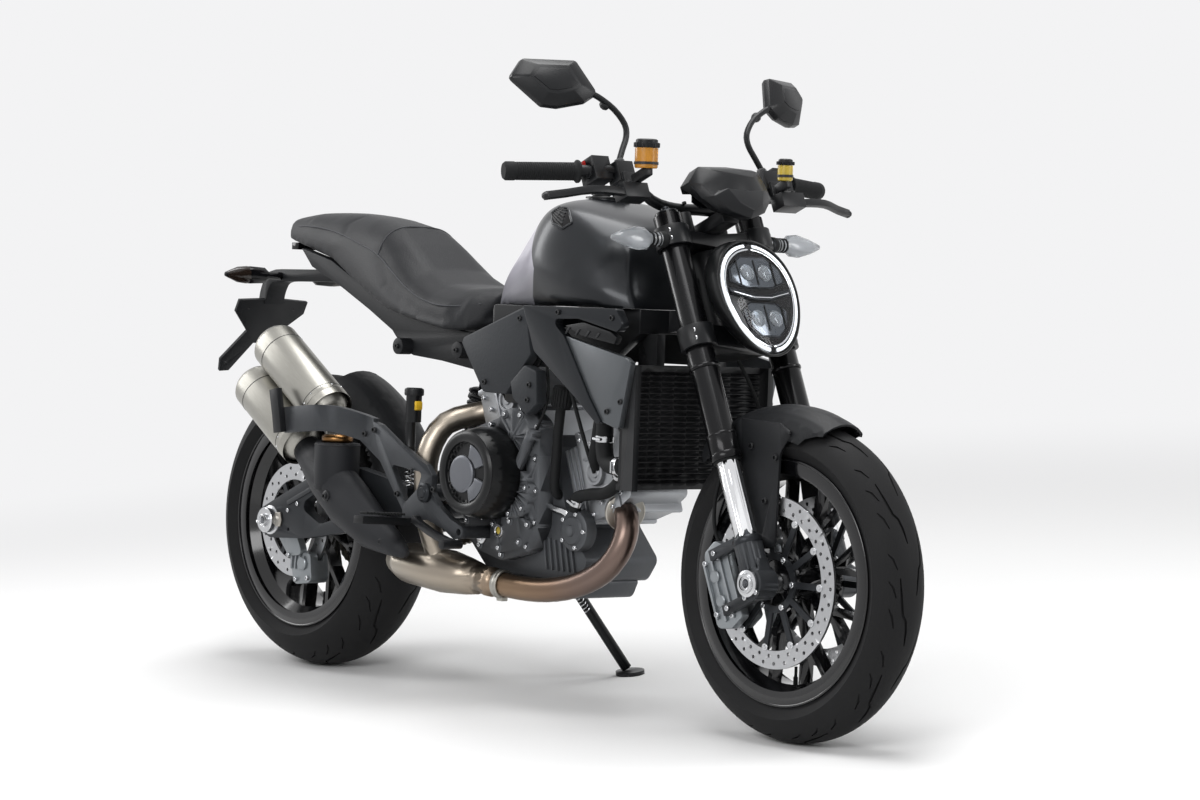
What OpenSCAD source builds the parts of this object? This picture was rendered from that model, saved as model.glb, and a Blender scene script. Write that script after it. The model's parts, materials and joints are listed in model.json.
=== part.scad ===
// Standard naked motorcycle, parked on its side stand.
// Upright machine frame: x forward from the standard rear axle, y to the left, z up from the road.

/* [Wheels] */
// Outer diameter of the front tyre
front_tyre_d = 600; // [585:1:612]
// Width of the front tyre
front_tyre_w = 120; // [112:1:126]
// Outer diameter of the rear tyre
rear_tyre_d = 630; // [612:1:642]
// Width of the rear tyre
rear_tyre_w = 180; // [168:1:184]
// Bead seat diameter of both rims
bead_d = 436; // [424:1:444]
// Width of the front rim between its flanges
front_rim_w = 89; // [82:1:94]
// Width of the rear rim between its flanges
rear_rim_w = 140; // [130:1:146]
// Outer diameter of the front brake discs
front_disc_d = 320; // [300:1:324]
// Outer diameter of the rear brake disc
rear_disc_d = 245; // [225:1:250]
// Thickness of every brake disc
disc_t = 5; // [4:0.5:6]
// Diameter of the front axle
front_axle_d = 25; // [20:0.5:28]
// Diameter of the rear axle
rear_axle_d = 25; // [20:0.5:28]

/* [Steering] */
// Steering head angle from the vertical
rake = 23.3; // [22.5:0.1:24.5]
// Distance of the fork legs in front of the steering axis
fork_offset = 34; // [30:1:37]
// Distance between the centres of the fork legs
fork_spacing = 210; // [204:1:216]
// Diameter of the black upper fork tubes
fork_tube_d = 54; // [50:1:57]
// Diameter of the polished lower fork tubes
fork_slider_d = 43; // [40:1:46]
// Place of the lower steering bearing, forward
head_x = 1269; // [1262:1:1280]
// Place of the lower steering bearing, up
head_z = 732; // [726:1:740]
// Length of the steering head tube
head_len = 165; // [155:1:172]

/* [Chassis] */
// Horizontal distance from the swingarm pivot to the rear axle
swingarm_len = 575; // [560:1:590]
// Height of the swingarm pivot
pivot_z = 395; // [388:1:402]
// Half width of the gap between the swingarm's arms
arm_gap = 122; // [119:1:126]
// Thickness of each swingarm arm
arm_t = 28; // [24:1:32]
// Lean to the left on the side stand
lean = 8; // [6:0.5:10]

/* [Body] */
// Widest half width of the fuel tank
tank_half_w = 186; // [178:1:192]
// Height of the top of the tank
tank_top_z = 1012; // [1000:1:1020]
// Widest half width of the seat
seat_half_w = 148; // [140:1:154]
// Height of the rider's seat
seat_z = 832; // [826:1:838]
// Half width of the handlebar
bar_half_w = 398; // [380:1:410]
// Diameter of the handlebar grips
grip_d = 34; // [31:0.5:37]

/* [Exhaust] */
// Diameter of each silencer
silencer_d = 102; // [94:1:104]
// Upward slope of the silencers
silencer_slope = 33; // [31:0.5:35]
// Diameter of the exhaust headers
header_d = 48; // [42:1:52]

/* [Hidden] */
$fn = 48;
eps = 0.01;
seat_gap = 0.4;
run_gap = 0.05;
pivot_x = 575;
rear_axle_x = pivot_x - swingarm_len;
front_r = front_tyre_d / 2;
rear_r = rear_tyre_d / 2;
fork_drop = (head_z + fork_offset * sin(rake) - front_r) / cos(rake);
front_axle_x = head_x + fork_drop * sin(rake) + fork_offset * cos(rake);
leg_y = fork_spacing / 2;
front_crown = front_tyre_w / 2 + 2;
rear_crown = rear_tyre_w / 2 + 5;
front_lift = front_crown * (1 - cos(lean));
rear_lift = rear_crown * (1 - cos(lean));
pitch = atan((rear_lift - front_lift) / (front_axle_x - rear_axle_x));
tail_x = -321.35;
origin_x = (front_axle_x + front_r + tail_x) / 2;
origin_y = 137.14;

// Parked pose and steering frame

// Leans the upright machine onto its side stand, with both tyres on the road.
module parked()
    translate([-origin_x, -origin_y, rear_lift]) rotate([-lean, pitch, 0]) children();

// Where a point of the upright machine lies once parked.
function park(p) =
    let (y1 = p.y * cos(lean) + p.z * sin(lean), z1 = p.z * cos(lean) - p.y * sin(lean))
    [p.x * cos(pitch) + z1 * sin(pitch) - origin_x, y1 - origin_y, z1 * cos(pitch) - p.x * sin(pitch) + rear_lift];

// Frame of the steering: origin on the axis at the lower bearing, z up along the axis, x ahead.
module steer() translate([head_x, 0, head_z]) rotate([0, -rake, 0]) children();

// Outlines, plates, lofts and pipes

function unit(v) = v / norm(v);
function turn(p, a) = [p.x * cos(a) - p.y * sin(a), p.x * sin(a) + p.y * cos(a)];

// Points of one corner q between p and s, rounded by radius r.
function corner(p, q, s, r, n) =
    r == 0 ? [q] :
    let (
        u = unit(p - q),
        v = unit(s - q),
        half = acos(max(-1, min(1, u * v))) / 2,
        c = q + unit(u + v) * r / sin(half),
        a = q + u * r / tan(half) - c,
        sweep = (u.x * v.y - u.y * v.x > 0 ? -1 : 1) * (180 - 2 * half)
    )
    [for (i = [0:n]) c + turn(a, sweep * i / n)];

// Closed outline from [x, y, corner radius] points.
function rounded(pts, n = 4) = [
    for (i = [0:len(pts) - 1])
        let (
            m = len(pts),
            p = pts[(i + m - 1) % m],
            q = pts[i],
            s = pts[(i + 1) % m]
        )
        each corner([p.x, p.y], [q.x, q.y], [s.x, s.y], q[2], n)
];

// Plate of an outline in the x-z plane, between two values of y.
module side_plate(outline, y0, y1)
    translate([0, y1, 0]) rotate([90, 0, 0]) linear_extrude(y1 - y0) polygon(outline);

// Cylinder along y.
module y_rod(x, z, r, y0, y1)
    translate([x, y0, z]) rotate([-90, 0, 0]) cylinder(r = r, h = y1 - y0);

module both_sides() {
    children();
    mirror([0, 1, 0]) children();
}

// Solid through a list of rings, each ring the same number of points, in either direction.
function mid(ring) = [for (k = [0:2]) [for (p = ring) p[k]] * [for (p = ring) 1] / len(ring)];
function area_dir(ring) =
    let (c = mid(ring), n = len(ring), v = [for (j = [0:n - 1]) cross(ring[j] - c, ring[(j + 1) % n] - c)])
    [for (k = [0:2]) [for (p = v) p[k]] * [for (p = v) 1]];
module loft(rings) {
    n = len(rings[0]);
    m = len(rings);
    s = area_dir(rings[1]) * (mid(rings[1]) - mid(rings[0])) > 0 ? 1 : 0;
    points = concat([for (ring = rings) each ring], [mid(rings[0]), mid(rings[m - 1])]);
    faces = concat(
        [for (i = [0:m - 2], j = [0:n - 1])
            [i * n + (j + s) % n, i * n + (j + 1 - s) % n, (i + 1) * n + (j + 1 - s) % n]],
        [for (i = [0:m - 2], j = [0:n - 1])
            [i * n + (j + s) % n, (i + 1) * n + (j + 1 - s) % n, (i + 1) * n + (j + s) % n]],
        [for (j = [0:n - 1]) [m * n, (j + 1 - s) % n, (j + s) % n]],
        [for (j = [0:n - 1]) [m * n + 1, (m - 1) * n + (j + s) % n, (m - 1) * n + (j + 1 - s) % n]]
    );
    polyhedron(points, faces);
}

// Smooth curve through points, k steps between each pair.
function spline(p, k) = [
    for (i = [0:len(p) - 2], j = [0:k - 1])
        let (
            a = p[max(0, i - 1)],
            b = p[i],
            c = p[i + 1],
            d = p[min(len(p) - 1, i + 2)],
            t = j / k
        )
        0.5 * ((2 * b) + (c - a) * t + (2 * a - 5 * b + 4 * c - d) * t * t
            + (3 * b - a - 3 * c + d) * t * t * t),
    p[len(p) - 1]
];

function path_dir(p, i) = unit(p[min(len(p) - 1, i + 1)] - p[max(0, i - 1)]);

// Pipe of radius r along a smooth path; side is a direction that the path never follows.
module pipe(p, r, n = 12, side = [0, 1, 0])
    loft([for (i = [0:len(p) - 1])
        let (
            t = path_dir(p, i),
            a = unit(cross(t, side)),
            b = cross(t, a)
        )
        [for (j = [0:n - 1]) p[i] - r * (a * cos(360 * j / n) + b * sin(360 * j / n))]]);

// Bar of a flat section w by t along a smooth path; t lies along the side direction.
module bar(p, w, t, side = [0, 1, 0])
    loft([for (i = [0:len(p) - 1])
        let (
            d = path_dir(p, i),
            a = unit(cross(d, side)),
            b = cross(d, a)
        )
        [for (c = [[1, 1], [1, -1], [-1, -1], [-1, 1]]) p[i] + a * c.x * w / 2 + b * c.y * t / 2]]);

// Wheels

rim_lip = 14;
rim_side = 6;
spoke_count = 8;

// Section of a tyre as [radius, y] points: a shell of one wall thickness with crown radius c.
tyre_wall = 11;
bead_h = 16;
function tyre_section(r, w, c, rim_w) =
    let (
        bead = bead_d / 2 + 1,
        foot = rim_w / 2 - 3,
        edge = min(asin(min(1, w / 2 / c)), acos(max(-1, 1 - (r - bead - bead_h - 4) / c))),
        inner = 0.94 * edge
    )
    concat(
        [[bead, -foot], [bead + bead_h, -foot - 5]],
        [for (i = [0:16]) let (a = edge * (i / 8 - 1)) [r - c + c * cos(a), c * sin(a)]],
        [[bead + bead_h, foot + 5], [bead, foot], [bead + 2, foot - tyre_wall]],
        [for (i = [8:-1:0]) let (a = inner * (i / 4 - 1)) [r - c + (c - tyre_wall) * cos(a), (c - tyre_wall) * sin(a)]],
        [[bead + 2, tyre_wall - foot]]
    );

module tyre(r, w, c, rim_w)
    rotate([90, 0, 0]) rotate_extrude($fn = 96) polygon(tyre_section(r, w, c, rim_w));

// Rim barrel: flanges, bead seats and a dropped centre.
function barrel_section(rim_w) =
    let (b = bead_d / 2, h = rim_w / 2)
    [[b - 16, -h - rim_side], [b + rim_lip - 1, -h - rim_side], [b + rim_lip - 1, -h - 1], [b + 0.5, -h],
     [b, -h + 16], [b - 18, -h + 30], [b - 18, h - 30], [b, h - 16], [b + 0.5, h],
     [b + rim_lip - 1, h + 1], [b + rim_lip - 1, h + rim_side], [b - 16, h + rim_side],
     [b - 12, h - 8], [b - 28, h - 26], [b - 28, -h + 26], [b - 12, -h + 8]];

// Forked spoke in the wheel's plane, pointing along +x, from hub radius to rim radius.
module forked_spoke(hub_r, rim_r, t) {
    fork_at = (hub_r + rim_r) * 0.5;
    spread = 80 / spoke_count;
    linear_extrude(t, center = true) {
        polygon([[hub_r - 6, -12], [hub_r - 6, 12], [fork_at, 8], [fork_at, -8]]);
        for (s = [-1, 1])
            polygon([[fork_at - 10, s * 9], [fork_at - 6, -s],
                     turn([rim_r, -s * 5], s * spread), turn([rim_r, s * 6], s * spread)]);
    }
}

module rim(rim_w, hub_r, hub_half, bore_d, spoke_t) {
    rotate([90, 0, 0]) difference() {
        union() {
            rotate_extrude($fn = 96) polygon(barrel_section(rim_w));
            cylinder(r = hub_r, h = 2 * hub_half, center = true);
            for (s = [-1, 1]) translate([0, 0, s * (hub_half - 4)]) cylinder(r = disc_hub_r + 15, h = 8, center = true);
            for (i = [0:spoke_count - 1])
                rotate(360 * i / spoke_count + 18) forked_spoke(hub_r, bead_d / 2 - 24, spoke_t);
        }
        cylinder(r = bore_d / 2 + run_gap, h = 3 * hub_half, center = true);
    }
}

// Drilled brake disc on a spider; its axis is z.
module brake_disc(d, band, hub_r, arms) {
    mid = d / 2 - band;
    linear_extrude(disc_t, center = true) difference() {
        union() {
            difference() {
                circle(r = d / 2, $fn = 96);
                circle(r = mid, $fn = 96);
            }
            difference() {
                circle(r = hub_r + 14);
                circle(r = hub_r + 1);
            }
            for (i = [0:arms - 1])
                rotate(360 * i / arms) translate([hub_r + 8, -6]) square([mid - hub_r - 2, 12]);
        }
        for (row = [0:1], i = [0:arms * 3 - 1])
            rotate(360 * (i + row * 0.5) / (arms * 3)) translate([d / 2 - band * (0.3 + 0.4 * row), 0])
                circle(r = 3.5, $fn = 16);
    }
}

axle_bore_depth = 50;
axle_lead = 2;
axle_lead_wall = 2;
front_bore_r = front_axle_d / 2 - 4;
rear_bore_r = rear_axle_d / 2 - 4.5;
front_hub_half = 59.1;
rear_hub_half = 82;
front_disc_y = 62;
rear_disc_y = 82.4;
disc_hub_r = 42;
sprocket_y = 105;
sprocket_t = 7;
sprocket_teeth = 42;
chain_pitch = 15.875;
sprocket_r = chain_pitch / 2 / sin(180 / sprocket_teeth);
roller_r = 5.1;

module at_front_axle() translate([front_axle_x, 0, front_r]) children();
module at_rear_axle() translate([rear_axle_x, 0, rear_r]) children();

module front_tyre() color("dimgray") parked() at_front_axle() tyre(front_r, front_tyre_w, front_crown, front_rim_w);
module rear_tyre() color("dimgray") parked() at_rear_axle() tyre(rear_r, rear_tyre_w, rear_crown, rear_rim_w);
module front_rim()
    color("black") parked() at_front_axle() rim(front_rim_w, 38, front_hub_half, front_axle_d, 26);
module rear_rim()
    color("black") parked() at_rear_axle() rim(rear_rim_w, 40, rear_hub_half, rear_axle_d, 30);
module front_discs()
    color("silver") parked() at_front_axle() both_sides()
        translate([0, front_disc_y, 0]) rotate([90, 0, 0]) brake_disc(front_disc_d, 34, disc_hub_r, 11);
module rear_disc()
    color("silver") parked() at_rear_axle()
        translate([0, -rear_disc_y - disc_t / 2, 0]) rotate([90, 0, 0]) brake_disc(rear_disc_d, 36, disc_hub_r, 6);

// Toothed sprocket whose tips stay inside the chain's rollers.
module rear_sprocket() color("gray") parked() at_rear_axle() {
    tip = sprocket_r - roller_r - 0.6;
    outline = [for (i = [0:sprocket_teeth - 1]) each [
        tip * [cos(360 * i / sprocket_teeth), sin(360 * i / sprocket_teeth)],
        (tip - 6) * [cos(360 * (i + 0.5) / sprocket_teeth), sin(360 * (i + 0.5) / sprocket_teeth)]]];
    translate([0, sprocket_y, 0]) rotate([90, 0, 0]) linear_extrude(sprocket_t, center = true) difference() {
        polygon(outline);
        circle(r = 30);
        for (i = [0:5]) rotate(60 * i) polygon([[53, -12], [53, 12], [60, 17], [78, 20], [78, -20], [60, -17]]);
    }
    difference() {
        y_rod(0, 0, 46, rear_hub_half + seat_gap, sprocket_y - sprocket_t / 2);
        y_rod(0, 0, 30, 0, 200);
    }
}

// Fork and steering

upper_clamp_z = head_len + 38;
fork_top_z = upper_clamp_z + 52;
seal_z = -241;
boot_z = -398;

module legs() for (s = [-1, 1]) translate([fork_offset, s * leg_y, 0]) children();

module triple_clamps() color("black") parked() steer() {
    difference() {
        union() {
            linear_extrude(42, center = true)
                polygon([[-30, -40], [-30, 40], [fork_offset - 10, leg_y], [fork_offset + 22, leg_y - 20],
                         [fork_offset + 8, 0], [fork_offset + 22, 20 - leg_y], [fork_offset - 10, -leg_y]]);
            legs() cylinder(r = fork_tube_d / 2 + 8, h = 42, center = true);
        }
        legs() cylinder(r = fork_tube_d / 2 + run_gap, h = 90, center = true);
    }
    cylinder(r = 15, h = upper_clamp_z + 10);
    translate([0, 0, upper_clamp_z]) difference() {
        union() {
            linear_extrude(26, center = true)
                polygon([[-34, -36], [-34, 36], [fork_offset - 12, leg_y], [fork_offset + 20, leg_y - 16],
                         [fork_offset + 2, 0], [fork_offset + 20, 16 - leg_y], [fork_offset - 12, -leg_y]]);
            legs() cylinder(r = fork_tube_d / 2 + 8, h = 40, center = true);
        }
        legs() cylinder(r = fork_tube_d / 2 + run_gap, h = 90, center = true);
    }
    for (s = [-1, 1]) translate([12, s * 42, upper_clamp_z + 13]) cylinder(r = 16, h = 74 - 13 - 11 - 2 * seat_gap);
}

module fork_tubes() color("black") parked() steer() legs() difference() {
    union() {
        translate([0, 0, seal_z + 40]) cylinder(r = fork_tube_d / 2, h = fork_top_z - seal_z - 46);
        translate([0, 0, seal_z]) cylinder(r = fork_tube_d / 2 + 2, h = 44);
        translate([0, 0, fork_top_z - 8]) cylinder(r = fork_tube_d / 2 - 4, h = 8);
    }
    translate([0, 0, seal_z - 1]) cylinder(r = fork_slider_d / 2 + run_gap, h = 210);
}

module fork_sliders() color("silver") parked() steer() legs()
    translate([0, 0, boot_z - 20]) cylinder(r = fork_slider_d / 2, h = seal_z - boot_z + 200);

caliper_y = 74;
caliper_pos = [-100, 0, 30];

// Fork bottom: leg shoe, axle lug and the two arms of the caliper mount.
module fork_bottoms() color("dimgray") parked() steer() both_sides()
    translate([fork_offset, leg_y, -fork_drop]) difference() {
        union() {
            translate([0, 0, 24]) cylinder(r = fork_tube_d / 2, h = fork_drop + boot_z - 24);
            rotate([90, 0, 0]) cylinder(r = 32, h = 44, center = true);
            translate([-27, -14, 0]) cube([54, 28, 40]);
            translate([-108, -leg_y + caliper_y + 18, 80]) cube([94, 14, 20]);
            translate([-108, -leg_y + caliper_y + 18, -28]) cube([94, 14, 20]);
        }
        rotate([90, 0, 0]) cylinder(r = front_axle_d / 2 + run_gap, h = 120, center = true);
        translate([0, 0, fork_drop + boot_z - 20 - run_gap]) cylinder(r = fork_slider_d / 2 + run_gap, h = 60);
    }

// Blind bore of a hollow axle from its end at y = 0, with a wider lead at the mouth.
module axle_bore(r, axle_d) {
    y_rod(0, 0, r, -1, axle_lead + axle_bore_depth);
    y_rod(0, 0, axle_d / 2 - axle_lead_wall, -1, axle_lead);
}

module front_axle() color("silver") parked() at_front_axle() {
    difference() {
        union() {
            y_rod(0, 0, front_axle_d / 2, -leg_y - 34, leg_y + 30);
            both_sides() y_rod(0, 0, 20, front_hub_half + seat_gap, leg_y - 22 - seat_gap);
            y_rod(0, 0, 19, -leg_y - 34, -leg_y - 22 - seat_gap);
        }
        translate([0, -leg_y - 34, 0]) axle_bore(front_bore_r, front_axle_d);
        translate([0, leg_y + 30, 0]) mirror([0, 1, 0]) axle_bore(front_bore_r, front_axle_d);
    }
}

// Four-piston caliper straddling the disc.
module front_calipers() color("silver") parked() steer() both_sides()
    translate([fork_offset, 0, -fork_drop]) difference() {
        side_plate(rounded([[-150, -40, 16], [-112, -52, 14], [-76, -40, 8], [-76, 100, 8], [-100, 118, 14],
                            [-138, 104, 16]]), caliper_y - 38, caliper_y + 18 - seat_gap);
        y_rod(0, 0, front_disc_d / 2 + 6, front_disc_y - 9, front_disc_y + 9);
    }

// Fender: an arch over the tyre, narrower at its nose, with a skirt down to a lug on each fork bottom.
fender_gap = 24;
fender_back = 28;
module front_fender() color("dimgray") parked() at_front_axle() {
    r = front_r + fender_gap;
    intersection() {
        translate([-fender_back, 0, 0]) rotate([90, 0, 0]) rotate([0, 0, 65]) rotate_extrude(angle = 64, $fn = 96)
            polygon(concat(
                [for (i = [0:12]) let (a = 80 * (i / 6 - 1)) [r - 66 + 72 * cos(a), 72 * sin(a)]],
                [for (i = [12:-1:0]) let (a = 80 * (i / 6 - 1)) [r - 66 + 68 * cos(a), 68 * sin(a)]]));
        linear_extrude(500) polygon([[-400, -80], [-400, 80], [16, 80], [118, 44], [118, -44], [16, -80]]);
    }
    both_sides() {
        side_plate(rounded([[-124, 286, 10], [-86, 206, 30], [-60, 97, 8], [-48, 64, 8], [8, 66, 10], [13, 240, 40],
                            [40, 280, 6], [10, 296, 6], [-96, 300, 6]]), 69.6, 74.6);
        y_rod(-28, 80, 9, 74, leg_y - fork_tube_d / 2 - seat_gap, $fn = 24);
    }
}

// Headlamp: an egg outline, wider above, swept level to the rear into a bowl.
lamp_x = 118;
lamp_z = 51;
lamp_half_h = 115;
lamp_half_w = 95;
function lamp_ring(x, k, n = 40) = [
    for (i = [0:n - 1])
        let (a = 360 * i / n, w = lamp_half_w * (1 + 0.12 * sin(a)))
        [x, k * w * cos(a), lamp_z + tan(rake) * (lamp_x - x) + k * lamp_half_h * sin(a)]
];
module headlamp_shell() color("dimgray") parked() steer() difference() {
    union() {
        translate([fork_offset + 13, -26, -15]) cube([40, 52, 30]);
        loft([lamp_ring(fork_offset + 14, 0.5), lamp_ring(fork_offset + 22, 0.72), lamp_ring(fork_offset + 34, 0.88),
              lamp_ring(lamp_x - 36, 0.98), lamp_ring(lamp_x - 14, 1.03), lamp_ring(lamp_x - 4, 1.035), lamp_ring(lamp_x, 1.02)]);
    }
    loft([lamp_ring(lamp_x - 8, 0.985), lamp_ring(lamp_x + 1, 0.985)]);
}
module headlamp_lens() color("lightgray") parked() steer()
    loft([lamp_ring(lamp_x - 8 + seat_gap, 0.98), lamp_ring(lamp_x + 1, 0.98), lamp_ring(lamp_x + 6, 0.93),
          lamp_ring(lamp_x + 10, 0.8), lamp_ring(lamp_x + 13, 0.55), lamp_ring(lamp_x + 14, 0.25)]);

// Instrument pod above the lamp: a faceted hood with a beak under its front.
function pod_ring(x, w, low, top) = [
    [x - 10, -w, top - 30], [x, -w + 24, top - 2], [x + 2, 0, top], [x, w - 24, top - 2], [x - 10, w, top - 30],
    [x + 4, w - 10, low + 46], [x + 10, w * 0.5, low + 14], [x + 12, 0, low], [x + 10, -w * 0.5, low + 14], [x + 4, 10 - w, low + 46]
];
module instrument() color("black") parked() steer() {
    loft([pod_ring(70, 78, 240, 314), pod_ring(82, 91, 226, 323), pod_ring(112, 94, 206, 322), pod_ring(134, 84, 202, 308),
          pod_ring(148, 56, 214, 290)]);
    translate([-10, -20, upper_clamp_z + 13 + seat_gap]) cube([104, 40, 26]);
}

// Handlebar as one smooth bent tube.
bar_x = 12;
bar_z = upper_clamp_z + 74;
function bar_path() = spline([
    [-48, -bar_half_w + 2, 363], [-30, -bar_half_w + 60, 358], [4, -275, 347], [bar_x + 14, -190, 338],
    [bar_x + 6, -120, bar_z + 12], [bar_x, -60, bar_z], [bar_x, 0, bar_z], [bar_x, 60, bar_z],
    [bar_x + 6, 120, bar_z + 12], [bar_x + 14, 190, 338], [4, 275, 347],
    [-30, bar_half_w - 60, 358], [-48, bar_half_w - 2, 363]], 3);
module handlebar() color("black") parked() steer() pipe(bar_path(), 11, 12, [1, 0, 0]);

grip_end = [-48, 363];
grip_in = [0, 348];
grip_in_y = 268;
module grips() color("black") parked() steer() both_sides() {
    a = [grip_in.x, grip_in_y, grip_in.y];
    b = [grip_end.x, bar_half_w, grip_end.y];
    d = unit(b - a);
    difference() {
        loft([for (k = [0, 6, 8, norm(b - a) - 14, norm(b - a) - 12, norm(b - a) + 10])
            let (r = (k == 0 || k == 6) ? grip_d / 2 + 5 : (k > norm(b - a) - 13 ? grip_d / 2 + 1 : grip_d / 2),
                 u = unit(cross(d, [1, 0, 0])), v = cross(d, u))
            [for (i = [0:19]) a + d * k - r * (u * cos(18 * i) + v * sin(18 * i))]]);
        pipe(bar_path(), 11.4, 12, [1, 0, 0]);
    }
}

module hand_controls() color("black") parked() steer() both_sides() {
    difference() {
        union() {
            translate([-14, 212, 322]) cube([44, 42, 48]);
            translate([10, 168, 316]) cube([34, 40, 40]);
            translate([40, 172, 268]) cube([34, 60, 30]);
            translate([30, 176, 290]) cube([20, 28, 40]);
        }
        pipe(bar_path(), 11.4, 12, [1, 0, 0]);
    }
    loft([for (p = spline([[62, 196, 276], [66, 240, 280], [58, 300, 284], [40, 350, 282], [28, 392, 280]], 3))
        [for (c = [[6, 7], [-6, 7], [-6, -7], [6, -7]]) p + [c.x, 0, c.y]]]);
}

module fluid_reservoirs() color("goldenrod") parked() steer() {
    translate([56, -200, 298.4]) cube([50, 18, 26]);
    translate([98, -190, 316]) rotate([0, rake, 0]) {
        cylinder(r = 22, h = 40);
        translate([0, 0, 40]) cylinder(r = 24, h = 16);
    }
    translate([54, 174, 298.4]) cube([40, 16, 24]);
    translate([84, 180, 316]) rotate([0, rake, 0]) {
        cylinder(r = 15, h = 32);
        translate([0, 0, 32]) cylinder(r = 17, h = 12);
    }
}

// Mirror: a bent stalk and a six-sided head whose outer end is swept back.
mirror_sweep = 20;
mirror_outline = [[0, 0], [28, 71], [137, 85], [169, 50], [119, -14], [88, -21], [31, -16]];
module mirrors() color("black") parked() steer() both_sides() {
    pipe(concat([[26, 184, 356.4]], spline([[26, 184, 364], [29, 172, 386], [33, 158, 412], [37, 158, 436], [41, 180, 464],
                                            [44, 216, 486], [42, 240, 496]], 3)), 6, 10, [1, 0, 0]);
    translate([46, 219, 489]) rotate([0, 0, mirror_sweep])
        loft([for (r = [[-9, 0.93], [-2, 1], [9, 0.97], [24, 0.6]])
            [for (q = rounded([for (m = mirror_outline) [m.x, m.y, 8]], 2))
                [r[0], 84 + (q.x - 84) * r[1], 30 + (q.y - 30) * r[1]]]]);
}

module front_indicators() color("white") parked() steer() both_sides() {
    translate([44, 0, 196]) {
        translate([0, leg_y + fork_tube_d / 2 + 8.4, 0]) rotate([-90, 0, 0]) cylinder(r1 = 15, r2 = 11, h = 42);
        loft([for (k = [[172, 10, 10], [186, 15, 22], [206, 16, 24], [240, 12, 15], [266, 5, 5]])
            [for (i = [0:11]) [k[1] * cos(30 * i), k[0] + leg_y - 105, k[2] * sin(30 * i)]]]);
    }
}

// Engine

crank = [790, 400];
front_bank = 20;
rear_bank = 110;
case_half_w = 92;
cover_t = 34;
cover_y = case_half_w + cover_t;
base_d = 120;
function bank(a, d, e) = crank + d * [cos(a), sin(a)] + e * [-sin(a), cos(a)];

stand_pivot = [650, 124, 252];
stand_tilt = 34;
stand_rake = 12;
module at_stand() translate(stand_pivot) rotate([stand_tilt, 0, 0]) children();

case_outline = rounded([
    [600, 335, 14], [680, 262, 20], [958, 256, 24], [990, 300, 16],
    [each bank(front_bank, base_d, -84), 6], [each bank(front_bank, base_d, 84), 6],
    [each bank(rear_bank, base_d, -80), 6], [each bank(rear_bank, base_d, 80), 6], [624, 448, 20]]);
sump_outline = rounded([[700, 222, 20], [940, 222, 20], [958, 258, 4], [690, 264, 4]]);
module case_body() {
    side_plate(case_outline, -case_half_w, case_half_w);
    side_plate(sump_outline, -70, 70);
}

// Crankcase with the swingarm lugs, the sump and the bracket and pin of the side stand.
module crankcase() color("gray") parked() {
    difference() {
        union() {
            case_body();
            side_plate(rounded([[640, 430, 10], [572, 428, 30], [540, 395, 30], [572, 362, 30], [640, 340, 10]]), -70, 70);
            side_plate(rounded([[612, 338, 8], [690, 338, 8], [690, 240, 14], [640, 226, 20], [612, 250, 10]]), 60, 104);
            at_stand() y_rod(0, 0, 22, -40, -seat_gap);
        }
        y_rod(pivot_x, pivot_z, 10 + run_gap, -80, 80);
    }
    at_stand() {
        y_rod(0, 0, 7, -20, 14);
        y_rod(0, 0, 12, 12 + seat_gap, 18);
    }
}

// One cylinder, head and cam cover in its own plane: d along the bore from the crank, e across it.
module cylinder_unit(a) {
    side_plate([for (p = [[base_d, -74], [182, -74], [182, 74], [base_d, 74]]) bank(a, p.x, p.y)], -66, 66);
    for (d = [174, 254]) side_plate([for (p = rounded([[d, -94, 4], [d + 12, -94, 4], [d + 12, 94, 4], [d, 94, 4]]))
        bank(a, p.x, p.y)], -80, 80);
    side_plate([for (p = rounded([[180, -88, 6], [262, -88, 8], [262, 88, 8], [180, 88, 6]])) bank(a, p.x, p.y)], -80, 80);
    side_plate([for (p = rounded([[260, -80, 4], [296, -70, 14], [302, 0, 60], [296, 70, 14], [260, 80, 4]])) bank(a, p.x, p.y)], -74, 74);
}
module cylinders() color("silver") parked() {
    cylinder_unit(front_bank);
    cylinder_unit(rear_bank);
}

right_cover = rounded([
    [640, 352, 16], [690, 302, 14], [765, 286, 20], [850, 310, 20], [876, 362, 20], [878, 430, 20],
    [872, 500, 14], [872, 566, 20], [815, 600, 20], [760, 575, 16], [660, 545, 20], [618, 470, 20]]);
clutch_pos = [742, 460];
clutch_r = 92;

module engine_covers() color("gray") parked() {
    side_plate(right_cover, -cover_y, -case_half_w);
    difference() {
        union() {
            y_rod(800, 536, 56, -cover_y - 12, -cover_y + 1);
            y_rod(812, 424, 50, -cover_y - 16, -cover_y + 1);
            side_plate(rounded([[738, 366, 8], [800, 378, 10], [868, 372, 14], [838, 320, 16], [765, 302, 14], [738, 310, 8]]),
                       -cover_y - 10, -cover_y + 1);
            for (i = [0:7]) translate([800, 0, 536]) rotate([0, 45 * i, 0])
                translate([8, -cover_y - 15, -2]) cube([44, 5, 4]);
            y_rod(800, 536, 11, -cover_y - 16, -cover_y - 10, $fn = 24);
            pipe([[866, -cover_y - 14, 546], [856, -cover_y - 14, 532], [812, -cover_y - 14, 454], [800, -cover_y - 14, 432]], 11, 16);
            y_rod(862, 541, 12, -cover_y - 22, -cover_y + 1);
        }
        y_rod(clutch_pos.x, clutch_pos.y, clutch_r + seat_gap, -cover_y - 100, -cover_y + eps);
    }
    side_plate(rounded([[700, 300, 30], [880, 290, 40], [900, 420, 40], [850, 500, 40], [720, 500, 40]]),
               case_half_w, cover_y);
    y_rod(crank.x, crank.y, 78, cover_y - 1, cover_y + 26);
    side_plate(rounded([[606, 352, 10], [715, 340, 10], [715, 470, 10], [606, 456, 10]]), case_half_w + 30, cover_y);
}

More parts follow.
